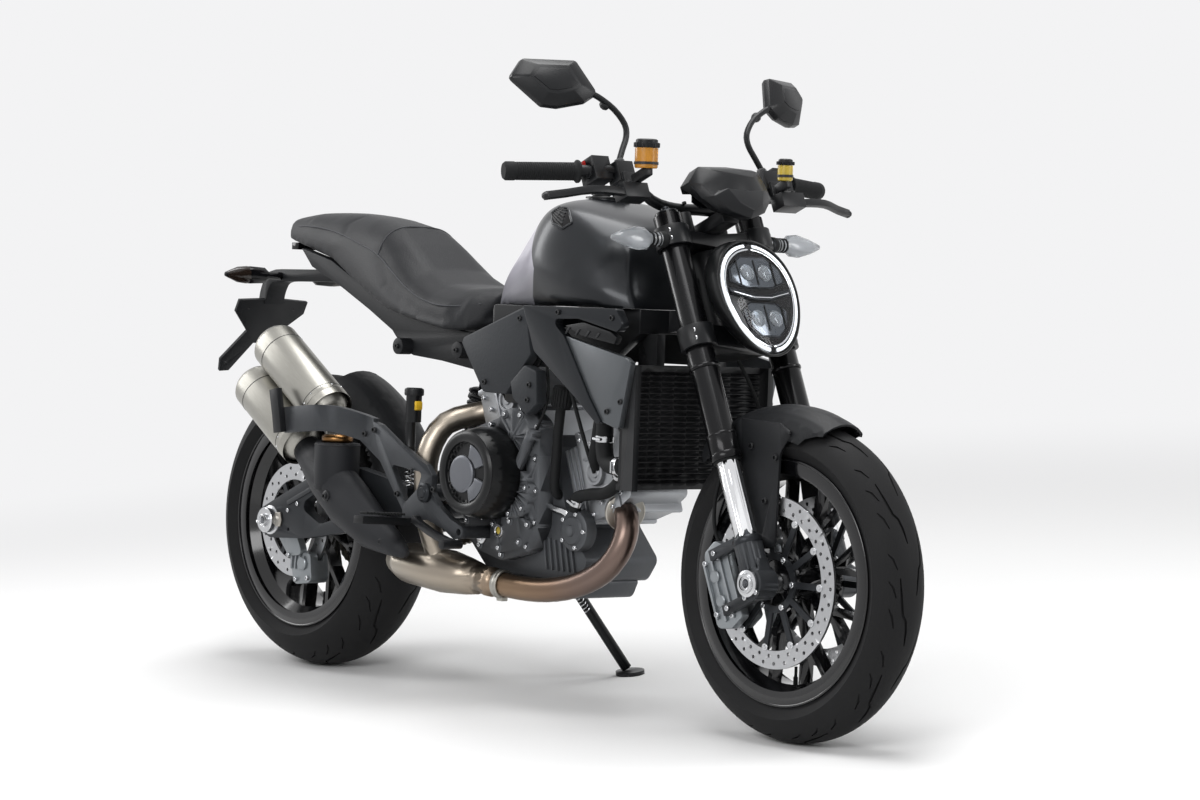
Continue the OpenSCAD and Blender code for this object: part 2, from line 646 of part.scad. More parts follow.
clutch_depth = 84;
module clutch_cover() color("black") parked()
    translate([clutch_pos.x, -cover_y, clutch_pos.y]) rotate([90, 0, 0]) rotate_extrude($fn = 96)
        polygon([[0, 0], [clutch_r, 0], [clutch_r, 40], [clutch_r - 4, 62], [clutch_r - 12, clutch_depth],
                 [clutch_r - 28, clutch_depth], [clutch_r - 32, clutch_depth - 10], [0, clutch_depth - 6]]);

// Coolant hose from the radiator up to the frame, breather pipe with its ribbed cap, and the pump in front.
module coolant_hoses() color("black") parked() {
    pipe(concat(spline([[1156.5, -150, 496], [1126, -148, 494], [1098, -144, 502], [1086, -142, 530], [1085, -140, 590],
                 [1074, -126, 640], [1064, -112, 676]], 3), [[1064, -112, 689.6]]), 17, 14);
    pipe(concat(spline([[916, -110, 612], [909, -110, 560], [905, -110, 500], [902, -110, 456], [900, -106, 434], [898, -97, 426]], 3),
                [[898, -92.4, 426]]), 10, 12, [1, 0, 0]);
    translate([914, -110, 596]) rotate([0, 8, 0]) cylinder(r = 19, h = 44, $fn = 24);
}

// Curved radiator core with its fins, side tanks and brackets.
rad_x = 1166;
rad_half_w = 170;
rad_z0 = 452;
rad_z1 = 690;
rad_bow = 620;
rad_t = 26;
fin_pitch = 11;
function rad_arc(r, w, n = 10) =
    let (a = asin(w / rad_bow))
    [for (i = [0:n]) let (k = 180 - a + 2 * a * i / n) [rad_x + rad_bow, 0] + r * [cos(k), sin(k)]];
module rad_sheet(r0, r1, w, z0, z1)
    translate([0, 0, z0]) linear_extrude(z1 - z0)
        polygon(concat(rad_arc(r0, w), [for (i = [10:-1:0]) rad_arc(r1, w)[i]]));
module radiator() color("black") parked() {
    rad_sheet(rad_bow + 6, rad_bow + rad_t - 4, rad_half_w, rad_z0, rad_z1);
    for (z = [rad_z0, rad_z1 - 12]) rad_sheet(rad_bow, rad_bow + rad_t, rad_half_w, z, z + 12);
    for (i = [1:floor((rad_z1 - rad_z0 - 24) / fin_pitch)])
        rad_sheet(rad_bow + 1, rad_bow + 7, rad_half_w - 4, rad_z0 + 10 + i * fin_pitch - 2, rad_z0 + 10 + i * fin_pitch);
    both_sides() {
        translate([rad_x + 12, rad_half_w - 6, rad_z0]) cube([34, panel_y0 + 2 - seat_gap - rad_half_w + 6, rad_z1 - rad_z0]);
        translate([1116, 70, rad_z1 - 10]) cube([54, 20, 750 - seat_gap - rad_z1 + 10]);
    }
}

// Frame and body

frame_y0 = 96;
frame_y1 = 118;
module front_frame() color("gray") parked() difference() {
    union() {
        steer() translate([0, 0, 21 + seat_gap]) cylinder(r = 34, h = head_len - 0.8);
        both_sides() {
            side_plate(rounded([[700, 690, 6], [1060, 690, 30], [1150, 750, 14], [1150, 796, 6], [700, 796, 10]]),
                       frame_y0, frame_y1);
            side_plate(rounded([[724, 600, 12], [770, 600, 12], [790, 700, 4], [724, 700, 4]]), 80 + seat_gap, frame_y0 + 4);
        }
        translate([1100, -frame_y1, 750]) cube([50, 2 * frame_y1, 46]);
        side_plate([[1120, 750], [1240, 764], [1215, 860], [1180, 850], [1172, 796], [1120, 796]], -44, 44);
    }
    steer() cylinder(r = 15 + run_gap, h = 400);
}

tank_floor = 796.4;
// Stations of the tank: x at the floor, slope, then shares of its half width and height
// for the floor edge, the crease, the flank, the shoulder and the top.
tank_stations = [
    [664, 0.55, 0.376, 0.419, 0.137, 0.409, 0.230, 0.301, 0.341, 0.406],
    [690, 0.55, 0.495, 0.538, 0.202, 0.522, 0.351, 0.409, 0.490, 0.555],
    [740, 0.45, 0.602, 0.661, 0.239, 0.634, 0.481, 0.527, 0.722, 0.842],
    [800, 0.28, 0.688, 0.785, 0.281, 0.742, 0.550, 0.634, 0.814, 0.958],
    [880, 0.08, 0.806, 0.941, 0.314, 0.935, 0.564, 0.763, 0.870, 0.995],
    [960, -0.08, 0.892, 1.000, 0.263, 0.973, 0.564, 0.806, 0.870, 0.972],
    [1040, -0.2, 0.914, 0.989, 0.193, 0.925, 0.518, 0.742, 0.805, 0.898],
    [1110, -0.3, 0.839, 0.876, 0.123, 0.796, 0.453, 0.613, 0.712, 0.814],
    [1148, -0.36, 0.699, 0.726, 0.082, 0.656, 0.388, 0.505, 0.638, 0.712]
];
function tank_ring(s) =
    let (
        w = tank_half_w,
        h = tank_top_z - tank_floor,
        half = concat([[s[2] * w, 0]], spline([[s[3] * w, s[4] * h], [s[5] * w, s[6] * h], [s[7] * w, s[8] * h],
            [s[7] * w * 0.5, (0.86 * s[9] + 0.14 * s[8]) * h], [0, s[9] * h]], 3)),
        m = len(half)
    )
    [for (i = [0:2 * m - 2]) let (q = half[i < m ? i : 2 * m - 2 - i])
        [s[0] + s[1] * q.y, (i < m ? -1 : 1) * q.x, tank_floor + q.y]];
cap_x = 905;
cap_r = 34;
module fuel_tank() color("dimgray") parked() {
    loft([for (s = spline(tank_stations, 2)) tank_ring(s)]);
    translate([cap_x, 0, tank_top_z - 30]) cylinder(r = cap_r + 5, h = 33);
}

cap_hinge = [cap_x + cap_r + 6, tank_top_z + 7.5];
module fuel_cap() color("black") parked() {
    translate([cap_x, 0, tank_top_z + 3.5]) cylinder(r = cap_r, h = 8);
    translate([cap_x + cap_r - 8, -9, tank_top_z + 4]) cube([14, 18, 7]);
    y_rod(cap_hinge.x, cap_hinge.y, 4, -12, 12, $fn = 24);
}

// Lower side panels that run from the tank floor forward to the radiator, with tabs to the frame.
panel_y0 = 176;
panel_y1 = 196;
module side_panels() color("dimgray") parked() both_sides() {
    side_plate(rounded([[888, 795.8, 4], [1168, 795.8, 10], [1190, 764, 10], [1172, 752, 6], [1060, 774, 8], [974, 772, 8],
                        [1017, 740, 2], [1097, 626, 4], [1135, 580, 3], [1122, 576, 4], [1053, 626, 10], [928, 708, 16], [910, 750, 10]]),
               panel_y0, panel_y1);
    translate([930, frame_y1 + seat_gap, 756]) cube([34, panel_y0 + 2 - frame_y1 - seat_gap, 30]);
}
module intake_panels() color("silver") parked() both_sides() {
    side_plate(rounded([[1018, 740, 2], [1196, 704, 8], [1212, 694, 8], [1183, 567, 8], [1136, 580, 3], [1098, 626, 4]]),
               panel_y0 + 2, panel_y1 - 4);
}
module frame_covers() color("dimgray") parked() both_sides() {
    side_plate(rounded([[834, 795.8, 6], [640, 728, 6], [633, 716, 6], [707, 620, 6], [780, 618, 8], [854, 699, 10]]),
               frame_y1 + seat_gap, 144);
    side_plate(rounded([[802.8, 642.9, 6], [844.8, 678.9, 10], [884, 668, 8], [888, 604, 6], [856, 580, 6], [812, 612, 6]]),
               frame_y1 + 6, 152);
}

// Seat: rider's dip, step and the raised pillion part.
seat_line = [[-108, 40, 930, 955], [-90, 64, 922, 972], [0, 84, 905, 980], [110, 96, 880, 978], [220, 112, 830, 968],
    [300, 126, 800, 950], [360, 136, 778, 912], [430, 144, 764, 862], [500, seat_half_w, 752, seat_z],
    [570, seat_half_w, 742, seat_z - 6], [620, 130, 742, seat_z - 4], [655, 84, 752, seat_z - 2]];
function seat_ring(s, n = 14) = concat(
    [for (i = [0:n]) let (a = 180 * i / n)
        [s[0], s[1] * sign(cos(a)) * pow(abs(cos(a)), 0.6), s[2] + (s[3] - s[2]) * pow(sin(a), 0.55)]],
    [[s[0], -s[1] * 0.9, s[2] - 4], [s[0], s[1] * 0.9, s[2] - 4]]);
module seat() color("dimgray") parked() loft([for (s = seat_line) seat_ring(s)]);

rail_y0 = 70;
rail_y1 = 92;
module rear_subframe() color("dimgray") parked() {
    both_sides() {
        side_plate(concat([for (s = seat_line) if (s[0] >= 0 && s[0] < 640) [s[0], s[2] - 4 - seat_gap]],
            [[699.6, 736], [699.6, 696], [633, 659], [505, 676], [408, 684], [375, 695], [333, 734], [250, 775], [150, 820], [40, 862]]),
            rail_y0, rail_y1);
        for (b = [[393, 702], [591, 700]]) y_rod(b.x, b.y, 17, rail_y1 - 1, rail_y1 + 30);
    }
    translate([30, -rail_y0 - 1, 858]) cube([50, 2 * rail_y0 + 2, 16]);
    translate([535, -rail_y0 - 1, 674]) cube([44, 2 * rail_y0 + 2, 22]);
    translate([690, -rail_y0 - 27, 698]) cube([9.6, 28, 36]);
    translate([690, rail_y0 - 1, 698]) cube([9.6, 28, 36]);
}

plate_hole_r = 3.25;
plate_hole_y = 70;
// Plane of the plate bracket: z is its normal, x runs down the bracket.
module at_plate() translate([-236, 0, 775]) rotate([0, 29, 0]) rotate([0, 90, 0]) children();
// Number plate hanger: an arm under the tail and a crossed bracket.
module plate_hanger() color("dimgray") parked() {
    bar(spline([[84, 0, 844.6], [-40, 0, 843], [-140, 0, 843], [-205, 0, 838], [-230, 0, 810], [-238, 0, 780]], 3), 26, 50);
    at_plate() linear_extrude(7, center = true) {
        polygon([[-12, -92], [18, -92], [66, -44], [74, -20], [74, 20], [66, 44], [18, 92], [-12, 92], [-16, 30], [-16, -30]]);
        difference() {
            polygon([[60, -40], [140, -88], [170, -80], [168, -56], [96, -16], [96, 16], [168, 56], [170, 80], [140, 88], [60, 40]]);
            for (s = [-1, 1]) translate([148, s * plate_hole_y]) circle(r = plate_hole_r);
        }
    }
}

module rear_lights() color("black") parked() {
    both_sides() translate([-168, 0, 840])
        loft([for (k = [[25.4, 8, 9], [60, 8, 9], [72, 12, 18], [110, 12, 20], [174, 4, 5]])
            [for (i = [0:9]) [k[1] * cos(36 * i), k[0], k[2] * sin(36 * i)]]]);
    translate([-96, -50, 899]) cube([24, 100, 15.2]);
}

// Swingarm, axle, chain and rear brake

bobbin_r = 4;
// Outline along the arm: x ahead of the axle, height over the line from the axle to the pivot, corner radius.
function arm_line(pts) = rounded([for (q = pts)
    [rear_axle_x + q.x, rear_r + (pivot_z - rear_r) * q.x / swingarm_len + q.y, q[2]]]);
module swingarm() color("gray") parked() difference() {
    union() {
        both_sides() {
            difference() {
                side_plate(arm_line([[-46, -16, 10], [-44, 26, 10], [40, 52, 20], [150, 84, 30], [300, 89, 30],
                    [480, 36, 10], [480, -32, 10], [300, -45, 40], [120, -48, 20], [0, -38, 10]]), arm_gap, arm_gap + arm_t);
                side_plate(arm_line([[100, 23, 14], [180, 52, 16], [270, 49, 14], [300, -7, 14], [180, -22, 14]]), 0, 300);
            }
            side_plate(arm_line([[430, 44, 8], [600, 32, 34], [600, -38, 34], [430, -31, 8]]), 71, arm_gap + 4);
        }
        side_plate(arm_line([[432, 36, 10], [530, 22, 10], [530, -46, 10], [432, -33, 10]]), -80, 80);
    }
    y_rod(pivot_x, pivot_z, 10 + run_gap, -200, 200);
    y_rod(rear_axle_x, rear_r, rear_axle_d / 2 + run_gap, -300, 300);
    y_rod(pivot_x, pivot_z, 44, -70.6, 70.6);
    both_sides() y_rod(rear_axle_x + 66, rear_r - 16, bobbin_r, arm_gap + arm_t - 18, arm_gap + arm_t + 1);
}

module rear_axle() color("silver") parked() {
    at_rear_axle() {
        difference() {
            y_rod(0, 0, rear_axle_d / 2, -arm_gap - arm_t - 24, arm_gap + arm_t + 20);
            translate([0, -arm_gap - arm_t - 24, 0]) axle_bore(rear_bore_r, rear_axle_d);
            translate([0, arm_gap + arm_t + 20, 0]) mirror([0, 1, 0]) axle_bore(rear_bore_r, rear_axle_d);
        }
        both_sides() difference() {
            y_rod(0, 0, 24, arm_gap + arm_t + seat_gap, arm_gap + arm_t + 16);
            y_rod(0, 0, rear_axle_d / 2 - 1, 0, 300);
        }
        difference() {
            union() {
                y_rod(0, 0, 21, -arm_gap + seat_gap, -rear_hub_half - seat_gap);
                y_rod(0, 0, 21, rear_hub_half + seat_gap, arm_gap - seat_gap);
            }
            y_rod(0, 0, rear_axle_d / 2 - 1, -300, 300);
        }
    }
    y_rod(pivot_x, pivot_z, 10, -arm_gap - 4, arm_gap + 4);
}

front_sprocket = [640, 400];
front_sprocket_r = 38;
// Pitch line of the chain: round the rear sprocket, along the lower run, round the front sprocket and back.
chain_d = norm(front_sprocket - [rear_axle_x, rear_r]);
chain_base = atan2(front_sprocket.y - rear_r, front_sprocket.x - rear_axle_x);
chain_lift = acos((sprocket_r - front_sprocket_r) / chain_d);
rear_wrap = sprocket_r * (360 - 2 * chain_lift) * PI / 180;
front_wrap = front_sprocket_r * 2 * chain_lift * PI / 180;
chain_run = chain_d * sin(chain_lift);
chain_len = rear_wrap + front_wrap + 2 * chain_run;
chain_links = round(chain_len / chain_pitch);
function ray(k) = [cos(k), sin(k)];
// Point of the chain at distance s along the pitch line, off outside it.
function chain_point(s, off) =
    let (
        a = [rear_axle_x, rear_r],
        low = ray(chain_base - chain_lift),
        top = ray(chain_base + chain_lift),
        s1 = s - rear_wrap,
        s2 = s1 - chain_run,
        s3 = s2 - front_wrap
    )
    s1 < 0 ? a + (sprocket_r + off) * ray(chain_base + chain_lift + s / sprocket_r * 180 / PI) :
    s2 < 0 ? a + (sprocket_r + off) * low + (front_sprocket + front_sprocket_r * low - a - sprocket_r * low) * s1 / chain_run :
    s3 < 0 ? front_sprocket + (front_sprocket_r + off) * ray(chain_base - chain_lift + s2 / front_sprocket_r * 180 / PI) :
    front_sprocket + (front_sprocket_r + off) * top + (a + sprocket_r * top - front_sprocket - front_sprocket_r * top) * s3 / chain_run;
link_high = 7.3;
link_waist = 5.6;
link_gap = 4;
link_t = 3.6;
// Edge of the row of link plates: full at each pin, waisted between the pins.
function link_edge(side) = [
    for (i = [0:2 * chain_links - 1])
        chain_point((i + 0.5) / 2 / chain_links * chain_len, side * (i % 2 == 0 ? link_high : link_waist))
];
// Roller chain: a row of waisted link plates on each side, and a roller on every pin between them.
module chain() color("gray") parked() {
    for (s = [-1, 1]) translate([0, sprocket_y + s * (link_gap + link_t / 2), 0]) difference() {
        side_plate(link_edge(1), -link_t / 2, link_t / 2);
        side_plate(link_edge(-1), -link_t, link_t);
    }
    for (i = [0:chain_links - 1])
        let (q = chain_point((i + 0.25) / chain_links * chain_len, 0))
            y_rod(q.x, q.y, roller_r, sprocket_y - link_gap - 0.1, sprocket_y + link_gap + 0.1, $fn = 6);
    y_rod(front_sprocket.x, front_sprocket.y, front_sprocket_r - roller_r + 1, sprocket_y - 5, sprocket_y + 5);
    y_rod(front_sprocket.x, front_sprocket.y, 16, case_half_w + seat_gap, sprocket_y + 8);
}

hugger_gap = 27;
module rear_hugger() color("dimgray") parked() at_rear_axle() {
    rotate([90, 0, 0]) rotate([0, 0, 5]) rotate_extrude(angle = 66, $fn = 96)
        polygon(concat(
            [for (i = [0:12]) let (a = 58 * (i / 6 - 1)) [rear_r + hugger_gap + 4 - 106 + 106 * cos(a), 104 * sin(a)]],
            [for (i = [12:-1:0]) let (a = 58 * (i / 6 - 1)) [rear_r + hugger_gap - 102 + 102 * cos(a), 100 * sin(a)]]));
    both_sides() translate([rear_r + hugger_gap - 56, 82, 48]) cube([26, arm_gap - seat_gap - 82, 18]);
}

module rear_caliper() color("gray") parked() at_rear_axle() difference() {
    union() {
        side_plate(rounded([[20, -66, 10], [96, -66, 10], [104, -128, 16], [40, -136, 16]]), -112, -66);
        side_plate(rounded([[-26, 26, 24], [26, 26, 24], [80, -70, 10], [30, -76, 10], [-26, -20, 20]]), -arm_gap + seat_gap, -104);
    }
    y_rod(0, 0, rear_disc_d / 2 + 6, -rear_disc_y - disc_t - 5, -rear_disc_y + 5);
    y_rod(0, 0, 21.4, -200, 0);
}

module shock_absorber() color("silver") parked() {
    a = [485, 400];
    b = [552, 690];
    len = norm(b - a);
    coil = 13;
    intersection() {
        translate([a.x, 0, a.y]) rotate([0, atan2(b.x - a.x, b.y - a.y), 0]) {
            cylinder(r = 14, h = len);
            translate([0, 0, 58]) rotate_extrude() polygon(concat([[0, 0]],
                [for (i = [0:12]) each [[27, i * coil], [33, i * coil + 3], [33, i * coil + 7], [27, i * coil + 10]]], [[0, 13 * coil]]));
        }
        translate([300, -100, 412.4]) cube([400, 200, 674 - 412.8]);
    }
}

// Exhaust

header_r = header_d / 2;
module exhaust_pipes() color("silver") parked() difference() {
    union() {
        pipe(spline([[1036, -46, 404], [1064, -62, 398], [1082, -74, 368], [1078, -86, 328], [1048, -100, 286],
                     [985, -114, 254], [900, -119, 238], [820, -124, 236], [735, -130, 242], [650, -130, 246]], 3), header_r, 14);
        pipe(spline([[646, -40, 584], [604, -60, 574], [568, -124, 550], [554, -156, 490], [550, -157, 420], [560, -152, 340],
                     [580, -136, 270]], 3), header_r, 14);
        pipe([[746, -130, 241.4], [730, -130, 242.4]], header_r + 6, 20);
        loft([for (r = [[690, 32, 32, 244], [650, 46, 38, 246], [590, 62, 44, 250], [480, 62, 42, 258], [436, 44, 32, 264]])
            [for (i = [0:19]) [r[0], -122 + r[1] * cos(18 * i), r[3] + r[2] * sin(18 * i)]]]);
    }
    cylinder_unit(front_bank);
    cylinder_unit(rear_bank);
    side_plate(right_cover, -cover_y - seat_gap, -case_half_w);
    case_body();
}

silencer_y = -180;
silencer_dir = [cos(silencer_slope), 0, -sin(silencer_slope)];
silencer_ends = [[30, 698, 268], [-36, 609, 240]];
function silencer_front(i, k) = [silencer_ends[i][0], silencer_y, silencer_ends[i][1]] + silencer_dir * (silencer_ends[i][2] + k);
module silencers() color("silver") parked() {
    for (s = silencer_ends)
        translate([s[0], silencer_y, s[1]]) rotate([0, 90 + silencer_slope, 0]) difference() {
            union() {
                cylinder(r1 = silencer_d / 2 - 8, r2 = silencer_d / 2, h = 12);
                translate([0, 0, 12]) cylinder(r = silencer_d / 2, h = s[2] - 40);
                translate([0, 0, s[2] - 28]) cylinder(r1 = silencer_d / 2, r2 = 30, h = 28);
            }
            translate([0, 0, -1]) cylinder(r = silencer_d / 2 - 14, h = 120);
        }
    pipe(concat(spline([silencer_front(0, -6), silencer_front(0, 14), [292, -192, 530], [300, -199, drum_top + 10]], 3),
                [[300, -199, drum_top + seat_gap]]), 26, 16);
}

// Black outer shell over the rear pipe, with a drum under the upper silencer.
drum_top = 496;
module heat_shield() color("black") parked() {
    loft([for (r = [[[556, -208, 284], 10, 10], [[522, -206, 297], 24, 24], [[444, -203, 322], 42, 36], [[352, -202, 374], 56, 44],
                    [[276, -199, 425], 52, 44], [silencer_front(1, 34), 36, 36], [silencer_front(1, seat_gap), 31, 31]])
        let (d = silencer_dir, u = [d.z, 0, -d.x])
        [for (i = [0:17]) r[0] + u * r[1] * cos(20 * i) + [0, 1, 0] * r[2] * sin(20 * i)]]);
    translate([300, -199, 400]) cylinder(r = 47, h = drum_top - 400);
}

// Foot hangers, pegs and pedals

hanger_y = 187;
hanger_t = 14;
module foot_hangers() color("gray") parked() both_sides() {
    difference() {
        side_plate(rounded([[446, 541, 10], [512, 505, 14], [606, 468, 8], [626, 448, 8], [626, 414, 6], [650, 388, 10], [696, 362, 10],
            [733, 350, 10], [731, 328, 10], [703, 325, 8], [671, 342, 8], [614, 358, 10], [570, 352, 6], [531, 344, 8], [532, 372, 8],
            [492, 418, 10], [451, 467, 12], [380, 506, 8], [380, 556, 8]]), hanger_y, hanger_y + hanger_t);
        side_plate(rounded([[487, 463, 6], [594, 452, 8], [579, 418, 6], [539, 387, 6]]), 0, 400);
        y_rod(718, 340, 7, 0, 400);
    }
    bar(spline([[420, 194, 526], [384, 198, 534], [340, 226, 546], [300, 246, 548], [250, 250, 544], [186, 248, 538]], 3), 54, 14);
    y_rod(608, 412, 17, arm_gap + 4 + seat_gap, hanger_y + hanger_t + 5);
    difference() {
        y_rod(718, 340, 13, cover_y + seat_gap, hanger_y + 1);
        y_rod(718, 340, 7, 0, 400);
    }
}

module foot_controls() color("black") parked() {
    both_sides() {
        bar([[548, hanger_y + hanger_t + seat_gap, 350], [548, hanger_y + hanger_t + 14, 350], [552, 240, 352], [560, 332, 356]], 15, 28, [1, 0, 0]);
        y_rod(588, 357, 8, hanger_y + hanger_t + seat_gap, hanger_y + hanger_t + 12, $fn = 24);
        bar(spline([[580, hanger_y + hanger_t + 7, 358], [640, 212, 336], [700, 216, 322], [742, 220, 318]], 2), 14, 12);
        y_rod(742, 318, 9, 214, 262, $fn = 24);
    }
    both_sides() bar([[182, 262.4, 512], [176, 264, 552], [166, 266, 602]], 26, 14);
    translate([500, -hanger_y + seat_gap, 474]) cube([24, 18, 26]);
    translate([512, -172, 474]) cylinder(r = 11, h = 80);
    translate([518, -170, 550]) cylinder(r = 16, h = 56);
    translate([518, -170, 604]) cylinder(r = 19, h = 14);
}

// Side stand: an eye on the tilted pin, a leg and a pad flat on the road.

stand_dir = [sin(stand_rake), 0, -cos(stand_rake)];
function stand_point(k) =
    let (q = [0, 6, 0] + stand_dir * k)
    stand_pivot + [q.x, q.y * cos(stand_tilt) - q.z * sin(stand_tilt), q.y * sin(stand_tilt) + q.z * cos(stand_tilt)];
stand_len = (13 - park(stand_point(0)).z) / (park(stand_point(1)).z - park(stand_point(0)).z);
module side_stand() color("black") {
    parked() at_stand() {
        difference() {
            union() {
                y_rod(0, 0, 21, 0, 12);
                side_plate([[-15, 0], [16, 0], [14 + 60 * sin(stand_rake), -60], [-11 + 60 * sin(stand_rake), -60]], 0, 12);
            }
            y_rod(0, 0, 7 + run_gap, -1, 20);
        }
        translate([0, 6, 0]) rotate([0, 180 - stand_rake, 0]) translate([0, 0, 40]) cylinder(r = 11, h = stand_len - 40);
    }
    foot = park(stand_point(stand_len));
    translate([foot.x + 6, foot.y + 4, 0]) cylinder(r = 30, h = 8);
}

front_frame();
rear_subframe();
crankcase();
engine_covers();
clutch_cover();
cylinders();
coolant_hoses();
radiator();
fuel_tank();
side_panels();
intake_panels();
frame_covers();
seat();
plate_hanger();
rear_lights();
swingarm();
rear_axle();
chain();
rear_hugger();
rear_caliper();
shock_absorber();
exhaust_pipes();
silencers();
heat_shield();
foot_hangers();
foot_controls();
fuel_cap();
triple_clamps();
fork_tubes();
fork_sliders();
fork_bottoms();
front_axle();
front_calipers();
front_fender();
headlamp_shell();
headlamp_lens();
instrument();
handlebar();
grips();
hand_controls();
fluid_reservoirs();
mirrors();
front_indicators();
front_tyre();
front_rim();
front_discs();
rear_tyre();
rear_rim();
rear_disc();
rear_sprocket();
side_stand();
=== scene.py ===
# %% [markdown]
# # A naked motorcycle on its side stand
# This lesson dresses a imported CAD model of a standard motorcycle.
# The solids give every piece its place and size, so they load first and stay where they are.
# The machine was drawn upright in millimetres and then leaned on its stand, so one matrix, PARK,
# carries any new piece from the upright drawing to the parked machine.

# %% Load the frame
import json
import math

import bpy
from mathutils import Matrix, Vector


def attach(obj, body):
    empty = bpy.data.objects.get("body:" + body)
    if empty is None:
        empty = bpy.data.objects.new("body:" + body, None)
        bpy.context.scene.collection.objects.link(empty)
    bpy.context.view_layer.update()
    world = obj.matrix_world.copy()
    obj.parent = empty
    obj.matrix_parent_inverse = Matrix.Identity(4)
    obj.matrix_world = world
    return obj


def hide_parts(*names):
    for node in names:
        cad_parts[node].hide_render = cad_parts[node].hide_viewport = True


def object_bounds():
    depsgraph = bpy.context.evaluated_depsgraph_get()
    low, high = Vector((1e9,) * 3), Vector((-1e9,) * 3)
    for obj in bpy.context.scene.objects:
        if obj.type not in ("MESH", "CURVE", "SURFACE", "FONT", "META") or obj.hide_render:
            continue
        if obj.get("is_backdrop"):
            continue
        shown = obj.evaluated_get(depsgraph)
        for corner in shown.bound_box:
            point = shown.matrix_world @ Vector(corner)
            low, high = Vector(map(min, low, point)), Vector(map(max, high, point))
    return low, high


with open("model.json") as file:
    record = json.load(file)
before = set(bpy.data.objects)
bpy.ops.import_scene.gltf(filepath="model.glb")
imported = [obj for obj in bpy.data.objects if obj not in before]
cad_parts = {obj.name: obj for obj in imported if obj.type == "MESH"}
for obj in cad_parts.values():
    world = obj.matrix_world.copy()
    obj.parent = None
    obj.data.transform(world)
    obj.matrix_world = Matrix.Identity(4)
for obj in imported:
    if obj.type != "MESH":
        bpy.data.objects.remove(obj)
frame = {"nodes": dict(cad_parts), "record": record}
nodes = frame["nodes"]
cad_low, cad_high = (Vector(c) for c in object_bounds())
bodies = frame["record"]["behaviour"]["bodies"]
node_body = {n: b for b, ns in bodies.items() for n in ns}
node_slot = {s["node"]: s["material_slot"] for s in frame["record"]["subparts"]}

MM = 0.001
LEAN, PITCH = math.radians(8.0), math.radians(0.012332)
ORIGIN = Vector((735.3588, 137.14, -0.92455)) * MM
RAKE = math.radians(23.3)
HEAD = Vector((1269, 0, 732)) * MM
FRONT_AXLE = Vector((1492.0676, 0, 300)) * MM
REAR_AXLE = Vector((0, 0, 315)) * MM

PARK = Matrix.Translation(-ORIGIN) @ Matrix.Rotation(PITCH, 4, "Y") @ Matrix.Rotation(-LEAN, 4, "X")
STEER = PARK @ Matrix.Translation(HEAD) @ Matrix.Rotation(-RAKE, 4, "Y")
FRONT_WHEEL = PARK @ Matrix.Translation(FRONT_AXLE)
REAR_WHEEL = PARK @ Matrix.Translation(REAR_AXLE)
RIGHT, LEFT = (0, -1, 0), (0, 1, 0)
CHASSIS, FORK = node_body["front_frame"], node_body["fork_tubes"]
print(
    "CAD box", [round(v, 3) for v in cad_low], [round(v, 3) for v in cad_high], "bodies",
    list(bodies)
)

# %% [markdown]
# ## Camera
# The camera was solved from the two wheels in the photograph: a long lens, low, ahead and to the
# right. It is placed against the upright machine and then parked with it, so the machine fills the
# frame as in the photograph.

# %% Camera
CAM_AT = Vector((6329, -4619, 803)) * MM
CAM_FORWARD = Vector((-0.7613, 0.6479, -0.0266))
CAM_UP = Vector((-0.0434, -0.01, 0.999))
FOCAL_PX, IMAGE_W, SENSOR_MM = 3593.6, 1200, 36

back = -CAM_FORWARD.normalized()
right = CAM_UP.cross(back).normalized()
pose = Matrix((right, back.cross(right), back)).transposed().to_4x4()
pose.translation = CAM_AT

camera_data = bpy.data.cameras.new("camera")
camera_data.sensor_fit = "HORIZONTAL"
camera_data.sensor_width = SENSOR_MM
camera_data.lens = FOCAL_PX * SENSOR_MM / IMAGE_W
camera_data.clip_end = 60
camera = bpy.data.objects.new("camera", camera_data)
bpy.context.scene.collection.objects.link(camera)
camera.matrix_world = PARK @ pose
bpy.context.scene.camera = camera
print(
    "lens", round(camera_data.lens, 1), "mm at",
    [round(v, 2) for v in camera.matrix_world.translation]
)

# %% [markdown]
# ## Studio
# A pale seamless floor and a white world stand for the studio. Large soft boxes draw the long
# highlights on the tank, fork and silencers. The background is white only to the camera, in
# reflections and through clear pieces, so it doesn't over-light the machine. Far from the machine
# the floor turns to the same white by its own material, so no horizon shows, while the floor under
# the machine stays plain paper that takes its shadow.


# %% Studio
BACKDROP, AIR_STRENGTH = "#F3F3F4", 0.3
FADE_FROM, FADE_TO = 1.3, 4.0


def linear(hex_colour):
    """An sRGB hex colour as linear red, green, blue and alpha."""
    channels = [int(hex_colour[i : i + 2], 16) / 255 for i in (1, 3, 5)]
    return [c / 12.92 if c <= 0.04045 else ((c + 0.055) / 1.055) ** 2.4 for c in channels] + [1]


def blank(data):
    """The emptied node tree of a new material or world."""
    data.use_nodes = True
    data.node_tree.nodes.clear()
    return data.node_tree


def add(tree, kind, links=(), **settings):
    """Adds one node: links are (input, socket or value) pairs, settings are its properties."""
    node = tree.nodes.new(kind)
    for key, value in settings.items():
        setattr(node, key, value)
    for key, value in links:
        if isinstance(value, bpy.types.NodeSocket):
            tree.links.new(value, node.inputs[key])
        else:
            node.inputs[key].default_value = value
    return node


def calc(tree, operation, *values):
    """The result of a maths node on sockets or numbers."""
    return add(tree, "ShaderNodeMath", enumerate(values), operation=operation).outputs[0]


def between(tree, value, first, last, curve="LINEAR"):
    """Where a value lies from first to last, as 0 to 1."""
    links = [("Value", value), ("From Min", first), ("From Max", last)]
    return add(tree, "ShaderNodeMapRange", links, interpolation_type=curve).outputs[0]


